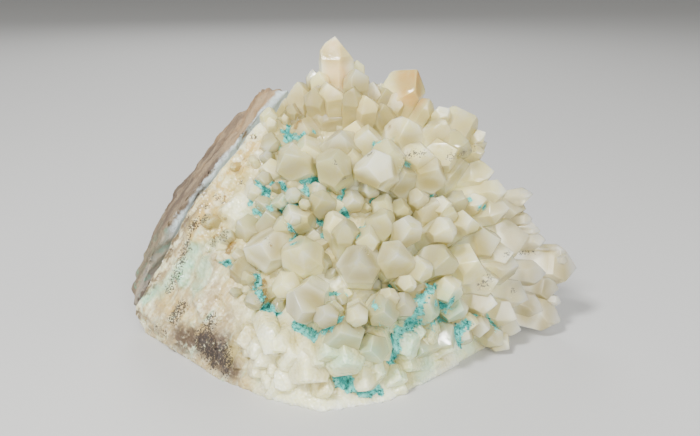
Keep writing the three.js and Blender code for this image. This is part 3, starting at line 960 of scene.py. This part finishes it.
    def mass_mesh(self, first: int) -> bpy.types.Mesh:
        """The massive quartz: hull and broken slope joined, made an even skin and roughened.

        The skin moves along its normals by layered noise, and on the broken slope by ledges too: a
        saw of the height along the slope's normal.

        Args:
            first: Number that the slope's uneven faces are drawn from.

        Returns:
            The closed mesh.
        """
        lump_rows = np.array(BROKEN_SLOPE, dtype=float)
        lumps = self.crystal_meshes(lump_rows, first + np.arange(len(lump_rows)), Owner.MASS.value)
        hull = hull_mesh("mass", np.array(MASS, dtype=float), Owner.MASS.value)
        mesh = remeshed(joined(hull, lumps), self.mass_cell)
        places, normals = vertex_array(mesh), normal_array(mesh)
        slope = smooth_step(0.15, 0.6, normals @ unit(np.array((-0.75, -0.45, 0.4))))
        bend = lattice_noise(places, 6, 5)
        ledge = 0.55 * ledges((places @ SLOPE_NORMAL + 1.1 * bend) / 1.9, 0.3)
        grain = 0.32 * layered_noise(places, 1.7, 21)
        swell = 0.7 * layered_noise(places, 6.5, 31, 2) - 0.35
        move = swell + slope * (ledge + grain) + 0.12 * layered_noise(places, 2.4, 41) * (1 - slope)
        raised = smooth_step(0.0, 2.0, places[:, 2])
        set_vertices(mesh, places + normals * (move * raised)[:, None])
        mark_owner(mesh, Owner.MASS.value)
        return mesh

    def build(self) -> tuple[bpy.types.Object, np.ndarray]:
        """The cluster as one closed mesh with its recess depths, and its crystals' rows.

        Returns:
            The cluster and (N, 7) rows.
        """
        rows, numbers = self.main_rows()
        named, foot = np.array(SMALL, dtype=float), np.array(CROWN_FOOT, dtype=float)
        small = np.concatenate([named, self.infill_rows(), foot])
        crystals = self.crystal_meshes(rows, numbers, 0)
        crystals += self.crystal_meshes(small, 500 + np.arange(len(small)), len(rows))
        first = sum(len(table) for table in FRONT)
        lumps, lump_tips = self.foot_lumps(first + np.arange(len(FOOT)))
        whole = joined(self.mass_mesh(first + len(FOOT)), crystals + lumps)
        whole = cut_off(whole, CONTACT_NORMAL, CONTACT_OFFSET)
        refined(whole, 1.7)
        set_vertices(whole, boxed(vertex_array(whole)))
        whole.name = "quartz_crystals"
        rows = np.concatenate([rows, small])
        tips = np.concatenate([rows[:, :3], lump_tips])
        write_values(whole, "recess", recess_depth(vertex_array(whole), tips))
        return linked(whole), rows

    def stain(self, mesh: bpy.types.Mesh, places: np.ndarray) -> None:
        """Writes each stain's strength; the copper mineral's is less where nothing shelters it.

        Args:
            mesh: The cluster's mesh.
            places: Its vertices, in millimetres.
        """
        recess = read(mesh.attributes["recess"].data, "value", np.float32)
        sides = [tuple(face.vertices) for face in mesh.polygons]
        finder = StainFinder(BVHTree.FromPolygons(places.tolist(), sides))
        sheltered = 0.3 + 0.7 * smooth_step(0.3, 1.8, recess)
        write_values(mesh, "copper", finder.field(places, COPPER, seek=3.0) * sheltered)
        for name, stains in STAINS.items():
            write_values(mesh, name, finder.field(places, stains))

    def dress(self, item: bpy.types.Object, rows: np.ndarray) -> None:
        """Stores what the quartz material reads, then gives the cluster its material.

        Args:
            item: The cluster.
            rows: Rows of all its crystals; a face's owner is its crystal's place among them.
        """
        mesh = item.data
        places = vertex_array(mesh)
        self.stain(mesh, places)
        write_values(mesh, "contact", CONTACT_OFFSET - places @ CONTACT_NORMAL)
        owner = read(mesh.attributes["owner"].data, "value")
        massive = owner >= Owner.MASS.value
        known = np.where(massive, 0, owner)
        write_values(mesh, "tone", np.where(massive, 0.6, share(known, 91)), "FACE")
        write_values(mesh, "massive", massive, "FACE")
        vertex, total = read(mesh.loops, "vertex_index"), read(mesh.polygons, "loop_total")
        crystal, in_mass = np.repeat(known, total), np.repeat(massive, total)
        row = rows[crystal]
        axis = headings(row[:, 3], row[:, 4])
        along = np.einsum("nk,nk->n", row[:, :3] - places[vertex], axis)
        normal = np.repeat(read(mesh.polygons, "normal", np.float32, 3), total, axis=0)
        on_prism = ~in_mass & (np.abs(np.einsum("nk,nk->n", normal, axis)) < 0.3)
        write_values(mesh, "axial", np.where(on_prism, along, 0), "CORNER")
        fan = smooth_step(26, 42, row[:, 0]) * smooth_step(0, -5, row[:, 1])
        near_tip = 0.1 + 0.45 * share(crystal, 93) * (1 - fan) + 0.45 * fan
        clear = 0.12 + smooth_step(10, 1, along) * near_tip
        write_values(mesh, "clear", np.where(in_mass, 0.06, clear), "CORNER")
        left = smooth_step(-19, -27, places[:, 0] + 0.35 * (places[:, 2] - 20))
        mass_share = np.zeros(len(places))
        np.maximum.at(mass_share, vertex, in_mass.astype(float))
        write_values(mesh, "sandy", left * (0.25 + 0.75 * mass_share))
        write_values(mesh, "glassy", smooth_step(22, 38, places[:, 0]))
        coat(mesh, MilkyQuartz().material())
        mesh.set_sharp_from_angle(angle=self.sharp_angle)
        mesh.update()


def recess_depth(points: np.ndarray, tips: np.ndarray, reach: float = 8.0) -> np.ndarray:
    """How far each point lies under the tips round it, in millimetres.

    For every tip nearer than the reach, the height of the tip above the point is taken along the
    line out from the heart, faded by distance, and the greatest of these is kept.

    Args:
        points: (N, 3) points.
        tips: (M, 3) tips.
        reach: How near a tip has to be.

    Returns:
        (N,) depths.
    """
    out = unit(points - (HEART - (0.0, 0.0, 6.0)))
    deepest = np.zeros(len(points))
    for tip in tips:
        to_tip = tip - points
        distance = np.linalg.norm(to_tip, axis=1)
        height = np.einsum("nk,nk->n", to_tip, out) * smooth_step(reach, 0.4 * reach, distance)
        deepest = np.maximum(deepest, height)
    return deepest


@dataclass
class HostRock:
    """The plate of layered rock that the cluster grew on. Sizes in millimetres."""

    cell: float = 0.7
    overlap: float = 0.5
    layer: float = 1.6

    def build(self) -> bpy.types.Object:
        """The plate: its hull made an even skin, then moved along its normals.

        The ledges are a saw of the height along the slope's normal, bent by slow noise, so that
        every layer ends in a small step; fine noise roughens the broken faces.

        Returns:
            The rock.
        """
        hull = hull_mesh("plate", np.array(PLATE, dtype=float), Owner.ROCK.value)
        mesh = remeshed(hull, self.cell)
        places, normals = vertex_array(mesh), normal_array(mesh)
        bend = lattice_noise(places, 9, 51) + 0.4 * lattice_noise(places, 3, 52)
        step = 0.75 * ledges((places @ SLOPE_NORMAL + 0.9 * bend) / self.layer, 0.22)
        broken = 0.22 * layered_noise(places, 1.9, 61) + 0.8 * lattice_noise(places, 8, 71) - 0.75
        edge = 1 - smooth_step(0.86, 0.99, normals @ SLOPE_NORMAL)
        move = (step * (0.35 + 0.65 * edge) + broken) * smooth_step(0.0, 1.5, places[:, 2])
        set_vertices(mesh, places + normals * move[:, None])
        whole = cut_off(mesh, -CONTACT_NORMAL, -(CONTACT_OFFSET - self.overlap))
        set_vertices(whole, boxed(vertex_array(whole)))
        places = vertex_array(whole)
        write_values(whole, "contact", places @ CONTACT_NORMAL - CONTACT_OFFSET)
        write_values(whole, "bed", places @ SLOPE_NORMAL)
        whole.name = "layered_rock"
        return linked(whole)

    def dress(self, item: bpy.types.Object) -> None:
        """Gives the rock its material."""
        coat(item.data, LayeredRock().material())


class Nodes:
    """A short way to write a material's node tree."""

    def __init__(self, name: str) -> None:
        """Starts a material with one Principled shader."""
        self.material = bpy.data.materials.new(name)
        self.material.use_nodes = True
        self.tree = self.material.node_tree
        self.shader = self.tree.nodes["Principled BSDF"]
        self.place = self.add("ShaderNodeTexCoord").outputs["Object"]

    def add(self, kind: str, **settings) -> bpy.types.Node:
        """Adds a node with the given properties.

        Args:
            kind: The node's type.
            **settings: Its properties.

        Returns:
            The node.
        """
        node = self.tree.nodes.new(kind)
        for name, value in settings.items():
            setattr(node, name, value)
        return node

    def put(self, value, socket: bpy.types.NodeSocket) -> None:
        """Links an output to a socket, or writes a plain value on it.

        Args:
            value: An output, a number or a tuple.
            socket: Where it goes.
        """
        if isinstance(value, bpy.types.NodeSocket):
            self.tree.links.new(value, socket)
        elif isinstance(value, tuple) and len(value) == 3 and socket.type == "RGBA":
            socket.default_value = (*value, 1.0)
        else:
            socket.default_value = value

    def value(self, name: str) -> bpy.types.NodeSocket:
        """A number stored on the mesh."""
        return self.add("ShaderNodeAttribute", attribute_name=name).outputs["Fac"]

    def noise(self, size: float, detail: float = 3.0, rough: float = 0.55, warp: float = 0.0,
              place: bpy.types.NodeSocket | None = None) -> bpy.types.NodeSocket:
        """Noise with features of a size in millimetres, 0 to 1.

        Args:
            size: Size of the features.
            detail: How many finer layers.
            rough: Weight of each finer layer.
            warp: How far it is distorted.
            place: Coordinates other than the object's.

        Returns:
            The noise.
        """
        node = self.add("ShaderNodeTexNoise")
        self.put(place or self.place, node.inputs["Vector"])
        for name, number in (("Scale", 1 / (size * MM)), ("Detail", detail), ("Roughness", rough),
                             ("Distortion", warp)):
            node.inputs[name].default_value = number
        return node.outputs["Fac"]

    def cells(self, size: float) -> bpy.types.NodeSocket:
        """Distance from the middles of cells of a size in millimetres.

        Args:
            size: Size of the cells.

        Returns:
            The distance.
        """
        node = self.add("ShaderNodeTexVoronoi")
        self.put(self.place, node.inputs["Vector"])
        node.inputs["Scale"].default_value = 1 / (size * MM)
        return node.outputs["Distance"]

    def beds(self, along: float, across: float) -> bpy.types.NodeSocket:
        """Object coordinates turned to the contact: along its strike, across it and upslope.

        Args:
            along: Scale along the strike.
            across: Scale of the other two.

        Returns:
            The coordinates.
        """
        strike = unit(np.cross(CONTACT_NORMAL, SLOPE_NORMAL))
        turned = self.add("ShaderNodeCombineXYZ")
        axes = (strike * along, CONTACT_NORMAL * across, np.cross(strike, CONTACT_NORMAL) * across)
        for axis, socket in zip(axes, turned.inputs):
            dot = self.add("ShaderNodeVectorMath", operation="DOT_PRODUCT")
            self.put(self.place, dot.inputs[0])
            dot.inputs[1].default_value = axis
            self.put(dot.outputs["Value"], socket)
        return turned.outputs[0]

    def math(self, operation: str, *values) -> bpy.types.NodeSocket:
        """One step of arithmetic.

        Args:
            operation: The node's operation.
            *values: Its inputs.

        Returns:
            The result.
        """
        node = self.add("ShaderNodeMath", operation=operation)
        for value, socket in zip(values, node.inputs):
            self.put(value, socket)
        return node.outputs[0]

    def times(self, *values) -> bpy.types.NodeSocket:
        """Product of numbers."""
        return reduce(lambda first, second: self.math("MULTIPLY", first, second), values)

    def plus(self, *values) -> bpy.types.NodeSocket:
        """Sum of numbers."""
        return reduce(lambda first, second: self.math("ADD", first, second), values)

    def most(self, *values) -> bpy.types.NodeSocket:
        """The greatest of numbers."""
        return reduce(lambda first, second: self.math("MAXIMUM", first, second), values)

    def span(self, value, low: float, high: float, to_low: float = 0.0, to_high: float = 1.0):
        """Smooth rise of a number between two limits.

        Args:
            value: The number.
            low: Where the rise starts.
            high: Where it ends.
            to_low: Result at the start.
            to_high: Result at the end.

        Returns:
            The result.
        """
        node = self.add("ShaderNodeMapRange", interpolation_type="SMOOTHSTEP")
        for number, socket in zip((value, low, high, to_low, to_high), node.inputs):
            self.put(number, socket)
        return node.outputs["Result"]

    def mix(self, share_of_second, first, second) -> bpy.types.NodeSocket:
        """Mix of two colours.

        Args:
            share_of_second: Share of the second, 0 to 1.
            first: First colour.
            second: Second colour.

        Returns:
            The colour.
        """
        node = self.add("ShaderNodeMix", data_type="RGBA")
        self.put(share_of_second, node.inputs[0])
        self.put(first, node.inputs[6])
        self.put(second, node.inputs[7])
        return node.outputs[2]

    def over(self, body, *layers: tuple) -> bpy.types.NodeSocket:
        """A colour with layers over it: each a colour, and numbers whose product is its share.

        Args:
            body: The colour underneath.
            *layers: Layers, the lowest first.

        Returns:
            The colour.
        """
        for colour, *shares in layers:
            body = self.mix(self.times(*shares), body, colour)
        return body

    def bumped(self, *layers: tuple) -> None:
        """Chains bumps, each (height, depth in millimetres, strength), into the shader's normal.

        Args:
            *layers: Bumps, the coarsest first.
        """
        last = None
        for height, depth, strength in layers:
            node = self.add("ShaderNodeBump")
            node.inputs["Distance"].default_value = depth * MM
            self.put(strength, node.inputs["Strength"])
            self.put(height, node.inputs["Height"])
            if last is not None:
                self.put(last, node.inputs["Normal"])
            last = node.outputs["Normal"]
        self.put(last, self.shader.inputs["Normal"])

    def finish(self, **inputs) -> bpy.types.Material:
        """Sets the shader's sockets by name, with underscores for spaces.

        Args:
            **inputs: Values of the sockets.

        Returns:
            The material.
        """
        for name, value in inputs.items():
            self.put(value, self.shader.inputs[name.replace("_", " ")])
        return self.material


@dataclass(frozen=True)
class MilkyQuartz:
    """Milky, frosted to glassy quartz, stained in its crevices, with painted shade in its recesses.
    """

    cream: tuple = (0.92, 0.875, 0.47)
    white: tuple = (0.945, 0.935, 0.69)
    frost: tuple = (0.62, 0.66, 0.46)
    glass: tuple = (0.90, 0.88, 0.80)
    painted_recess_shade: tuple = (0.50, 0.41, 0.13)
    peach: tuple = (0.84, 0.50, 0.15)
    green: tuple = (0.36, 0.62, 0.42)
    ochre: tuple = (0.58, 0.41, 0.12)
    sandy: tuple = (0.44, 0.34, 0.17)
    mauve: tuple = (0.085, 0.055, 0.03)
    pale_copper: tuple = (0.10, 0.56, 0.48)
    copper: tuple = (0.008, 0.25, 0.22)
    deep_copper_and_shade: tuple = (0.002, 0.075, 0.06)
    iron: tuple = (0.20, 0.11, 0.006)
    soot: tuple = (0.02, 0.013, 0.01)
    refraction: float = 1.544
    light_colour: tuple = (1.0, 0.92, 0.62)
    light_reach: float = 2.0
    striations: float = 11.0

    def material(self) -> bpy.types.Material:
        """The material, which reads the values stored on the mesh.

        Returns:
            The material.
        """
        n = Nodes("milky_quartz")
        recess, tone, massive = n.value("recess"), n.value("tone"), n.value("massive")
        slope, mauve = n.value("sandy"), n.value("mauve")
        veil = n.noise(3.2, 4, 0.6, warp=0.6)
        fleck = n.noise(0.9, 5, 0.7)
        streak = n.noise(1.7, 5, 0.68, place=n.beds(0.28, 1.0))
        cloud = n.span(n.plus(veil, n.span(tone, 0, 1, -0.1, 0.1)), 0.36, 0.62)
        body = n.over(
            n.mix(cloud, self.cream, self.white),
            (self.peach, n.value("peach"), n.span(veil, 0.2, 0.6, 0.55, 1.0)),
            (self.frost, massive, 0.4),
            (self.glass, n.value("glassy"), 0.75),
            (self.sandy, slope, n.span(streak, 0.38, 0.58, 0.34, 1.0)),
            (self.green, slope, n.span(streak, 0.42, 0.34, 0.0, 0.5)),
            (self.ochre, n.value("ochre"), n.span(n.noise(1.8, 4, 0.6), 0.36, 0.6, 0.2, 1.0)),
            (self.mauve, mauve, n.span(n.noise(1.3, 5, 0.7), 0.34, 0.52, 0.35, 1.0)),
            (self.green, n.value("green"), n.span(veil, 0.3, 0.6, 0.4, 0.9)),
            # Painted shade: an olive tint that darkens the recesses between crystals, more where
            # they are deeper.
            (self.painted_recess_shade, n.span(recess, 0.6, 3.8), n.span(tone, 0.0, 1.0, 0.55, 0.95)),
            (self.mauve, n.span(n.value("contact"), 2.6, 0.6), slope, n.span(streak, 0.44, 0.56),
             0.8),
        )
        held = n.span(n.plus(n.value("copper"), n.span(fleck, 0.3, 0.7, -0.24, 0.24)), 0.36, 0.58)
        # Copper colour: pale to teal to deep teal by noise, which is its own colour, and darker
        # where recessed, which is painted shade.
        copper_depth_and_shade = n.plus(n.noise(0.7, 4, 0.65), n.span(recess, 1.0, 6.0, -0.14, 0.16))
        paint = n.over(self.pale_copper, (self.copper, n.span(copper_depth_and_shade, 0.40, 0.56)),
                       (self.deep_copper_and_shade, n.span(copper_depth_and_shade, 0.60, 0.80)))
        rust = n.plus(n.value("iron"), n.span(n.noise(0.8, 5, 0.7), 0.3, 0.7, -0.4, 0.3))
        rust = n.span(rust, 0.36, 0.85, 0.0, 0.9)
        dots = n.plus(n.value("soot"), n.span(n.noise(0.34, 2, 0.6), 0.35, 0.66, -0.68, 0.36))
        sooty = n.times(n.span(dots, 0.36, 0.5), 0.92)
        body = n.over(body, (paint, held), (self.iron, rust), (self.soot, sooty))
        opaque = n.most(held, sooty, n.times(rust, 0.7), n.times(mauve, 0.8))
        smooth = n.span(n.noise(4.0, 2), 0.35, 0.65, 0.07, 0.22)
        lines = n.math("SINE", n.times(n.value("axial"), self.striations))
        n.bumped((lines, 0.03, 0.12), (n.noise(2.2, 3, 0.5), 0.16, 0.3),
                 (n.times(n.cells(0.75), massive), 0.35, 0.55),
                 (n.noise(0.35, 3, 0.7), 0.06, 0.45), (n.times(fleck, held), 0.5, 0.8))
        return n.finish(
            Base_Color=body, IOR=self.refraction, Specular_IOR_Level=0.5,
            Roughness=n.plus(smooth, n.times(massive, 0.14), n.times(opaque, 0.45)),
            Transmission_Weight=n.times(n.value("clear"), n.math("SUBTRACT", 1.0, opaque)),
            Subsurface_Weight=n.math("SUBTRACT", 0.8, n.times(opaque, 0.7)),
            Subsurface_Radius=self.light_colour, Subsurface_Scale=self.light_reach * MM,
        )


@dataclass(frozen=True)
class LayeredRock:
    """Rough layered host rock, peach at the top and mauve brown lower, with a bright vein."""

    tan: tuple = (0.28, 0.18, 0.085)
    mauve: tuple = (0.11, 0.075, 0.048)
    grey: tuple = (0.16, 0.15, 0.09)
    pink: tuple = (0.31, 0.235, 0.14)
    vein: tuple = (0.52, 0.60, 0.62)
    seam: tuple = (0.05, 0.03, 0.02)
    green: tuple = (0.11, 0.22, 0.14)
    light_colour: tuple = (1.0, 0.7, 0.5)
    light_reach: float = 0.8

    def material(self) -> bpy.types.Material:
        """The material, which reads the bed height and the distance from the contact.

        Returns:
            The material.
        """
        n = Nodes("layered_rock")
        apart = n.add("ShaderNodeSeparateXYZ")
        n.put(n.place, apart.inputs[0])
        height = n.plus(n.times(apart.outputs["Z"], 1 / MM), n.span(n.noise(7, 3), 0.3, 0.7, -6, 6))
        bed = n.plus(n.value("bed"), n.span(n.noise(6, 3), 0.3, 0.7, -0.8, 0.8))
        band = n.math("FRACT", n.times(bed, 0.42))
        streak = n.noise(2.2, 5, 0.65, place=n.beds(0.3, 1.0))
        contact = n.plus(n.value("contact"), n.span(n.noise(2.0, 3), 0.3, 0.7, -0.35, 0.35))
        body = n.over(
            n.mix(n.span(height, 8, 16), self.pink, self.grey),
            (self.mauve, n.span(height, 17, 26)),
            (self.tan, n.span(height, 33, 42)),
            (self.pink, n.span(band, 0.25, 0.5, 0.0, 0.5)),
            (self.mauve, n.span(streak, 0.45, 0.62, 0.0, 0.8)),
            (self.pink, n.span(streak, 0.42, 0.30, 0.0, 0.7)),
            (self.green, n.span(n.noise(2.2, 4, 0.65), 0.54, 0.66), n.span(height, 24, 12)),
            (self.vein, n.span(contact, 3.0, 2.2), n.span(height, 16, 28, 0.12, 0.95)),
            (self.seam, n.span(contact, 0.8, 0.4, 0.0, 0.85),
             n.span(n.value("contact"), -0.4, 0.0)),
            (self.seam, n.span(n.noise(0.5, 3, 0.7), 0.62, 0.72), 0.7),
        )
        n.bumped((n.noise(1.6, 5, 0.7), 0.5, 0.6), (n.noise(0.4, 4, 0.7), 0.2, 0.7),
                 (n.span(n.cells(0.8), 0.05, 0.22, 0.55, 1.0), 0.15, 0.4))
        return n.finish(
            Base_Color=body, Roughness=n.span(n.noise(1.2, 3), 0.3, 0.7, 0.6, 0.9),
            Subsurface_Weight=0.1, Subsurface_Radius=self.light_colour,
            Subsurface_Scale=self.light_reach * MM,
        )


def icosahedron() -> tuple[np.ndarray, np.ndarray]:
    """Corners (12, 3) at distance one from the middle, and sides (20, 3) that face outwards.

    Returns:
        Corners and sides.
    """
    golden = (1 + math.sqrt(5)) / 2
    shape = unit(np.array([(0, i, j * golden) for i in (-1, 1) for j in (-1, 1)]))
    shape = np.concatenate([shape, np.roll(shape, 1, axis=1), np.roll(shape, 2, axis=1)])
    nearest = 1.1
    sides = np.array([trio for trio in combinations(range(len(shape)), 3)
                      if all(np.linalg.norm(shape[p] - shape[q]) < nearest
                             for p, q in combinations(trio, 2))])
    first, second, third = shape[sides.T]
    inward = np.einsum("nk,nk->n", np.cross(second - first, third - first), first) < 0
    sides[inward] = sides[inward, ::-1]
    return shape, sides


@dataclass(frozen=True)
class CopperCrust:
    """Small grains of copper mineral in the stained crevices. Sizes in millimetres."""

    count: int = 3600
    least: float = 0.07
    most: float = 0.26
    seed: int = 5
    least_stain: float = 0.42
    full_stain: float = 0.85
    pale: tuple = (0.20, 0.66, 0.58)
    teal: tuple = (0.010, 0.26, 0.23)
    deep: tuple = (0.003, 0.085, 0.07)
    light_colour: tuple = (0.6, 1.0, 0.9)
    light_reach: float = 0.5

    def build(self, cluster: bpy.types.Object) -> bpy.types.Object:
        """One mesh of twenty-sided grains, spread over the faces by how strongly they are stained.

        A grain is an icosahedron scaled unevenly along the face's normal and across it.

        Args:
            cluster: The dressed cluster.

        Returns:
            The crust.
        """
        draw, count = np.random.default_rng(self.seed), self.count
        index, corner = triangles(cluster.data)
        stain = read(cluster.data.attributes["copper"].data, "value", np.float32)
        stain = stain[index].mean(axis=1).astype(float)
        weight = smooth_step(self.least_stain, self.full_stain, stain)
        place, normal = spread_over(corner, draw, count, weight)
        side = unit(np.cross(normal, draw.normal(size=(count, 3))))
        frame = np.stack([side, np.cross(normal, side), normal], axis=1)
        radius = self.least + (self.most - self.least) * draw.random(count) ** 2
        size = radius[:, None] * (0.7 + 0.6 * draw.random((count, 3))) * (1, 1, 0.7)
        shape, sides = icosahedron()
        grains = boxed(place[:, None] + np.einsum("vk,nk,nkm->nvm", shape, size, frame))
        faces = (sides[None] + len(shape) * np.arange(count)[:, None, None]).reshape(-1, 3)
        crust = bpy.data.meshes.new("copper_crust")
        crust.from_pydata((grains.reshape(-1, 3) * MM).tolist(), [], faces.tolist())
        crust.materials.append(self.material())
        return linked(crust)

    def material(self) -> bpy.types.Material:
        """Turquoise to teal, dull.

        Returns:
            The material.
        """
        n = Nodes("copper_crust")
        body = n.over(self.pale, (self.teal, n.span(n.noise(1.6, 4, 0.65), 0.36, 0.54)),
                      (self.deep, n.span(n.noise(0.8, 3, 0.6), 0.50, 0.64)))
        n.bumped((n.noise(0.15, 2), 0.04, 0.5))
        return n.finish(Base_Color=body, Roughness=n.span(n.noise(0.5, 2), 0.3, 0.7, 0.45, 0.7),
                        Subsurface_Weight=0.3, Subsurface_Radius=self.light_colour,
                        Subsurface_Scale=self.light_reach * MM)


@dataclass(frozen=True)
class Lamp:
    """A square soft light. Place and size in metres."""

    name: str
    place: tuple
    size: float
    watts: float

    def build(self, aim: tuple) -> None:
        """Adds the light, turned towards a place.

        Args:
            aim: The place, in metres.
        """
        data = bpy.data.lights.new(self.name, "AREA")
        data.size, data.energy = self.size, self.watts
        item = linked(data)
        item.location = self.place
        x, y, z = np.array(aim) - np.array(self.place)
        item.rotation_euler = (math.atan2(np.hypot(x, y), -z), 0.0, math.atan2(-x, y))


@dataclass(frozen=True)
class Stage:
    """Plain pale floor, soft studio light and the camera. Places in metres."""

    floor_half: float = 30.0
    floor_colour: tuple = (0.5, 0.5, 0.49)
    floor_roughness: float = 0.6
    aim: tuple = (0.0, 0.0, 0.025)
    lamps: tuple[Lamp, ...] = (
        Lamp("key", (-0.26, -0.34, 0.50), 0.12, 6.8), Lamp("front", (0.12, -0.62, 0.30), 0.4, 6.8),
        Lamp("side", (0.60, -0.10, 0.30), 0.4, 1.0), Lamp("back", (-0.10, 0.55, 0.40), 0.3, 1.8),
    )
    sky_colour: tuple = (1.0, 0.99, 0.96, 1.0)
    sky_strength: float = 0.36
    nearest: float = 0.01
    view: View = View()

    def floor(self) -> None:
        """A large flat floor at the resting face."""
        half = self.floor_half
        mesh = bpy.data.meshes.new("floor")
        corners = [(-half, -half, 0), (half, -half, 0), (half, half, 0), (-half, half, 0)]
        mesh.from_pydata(corners, [], [(0, 1, 2, 3)])
        n = Nodes("floor")
        finish = n.finish(Base_Color=self.floor_colour, Roughness=self.floor_roughness)
        mesh.materials.append(finish)
        linked(mesh)

    def surroundings(self) -> None:
        """An even pale sky."""
        world = bpy.data.worlds.new("studio")
        world.use_nodes = True
        sky = world.node_tree.nodes["Background"].inputs
        sky["Color"].default_value = self.sky_colour
        sky["Strength"].default_value = self.sky_strength
        bpy.context.scene.world = world

    def camera(self) -> None:
        """The camera of the main view."""
        data = bpy.data.cameras.new("camera")
        data.lens, data.sensor_width = self.view.lens, self.view.sensor
        data.clip_start = self.nearest
        camera = linked(data)
        camera.location = self.view.place
        camera.rotation_euler = (math.radians(90 - self.view.down), 0.0, 0.0)
        bpy.context.scene.camera = camera

    def build(self) -> None:
        """Floor, lights, surroundings and camera."""
        self.floor()
        for lamp in self.lamps:
            lamp.build(self.aim)
        self.surroundings()
        self.camera()


def main() -> None:
    """Builds the pieces in order, dresses them and reports each."""
    logging.basicConfig(level=logging.INFO, format="%(name)s: %(message)s")
    quartz = QuartzCluster()
    cluster, rows = quartz.build()
    quartz.dress(cluster, rows)
    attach(cluster, "root")
    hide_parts("quartz_cluster")
    LOG.info("quartz crystals: %d, faces: %d", len(rows), len(cluster.data.polygons))
    plate = HostRock()
    rock = plate.build()
    plate.dress(rock)
    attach(rock, "root")
    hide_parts("host_rock")
    LOG.info("host rock faces: %d", len(rock.data.polygons))
    crust = CopperCrust().build(cluster)
    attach(crust, "root")
    LOG.info("copper crust faces: %d", len(crust.data.polygons))
    Stage().build()


if __name__ == "__main__":
    main()
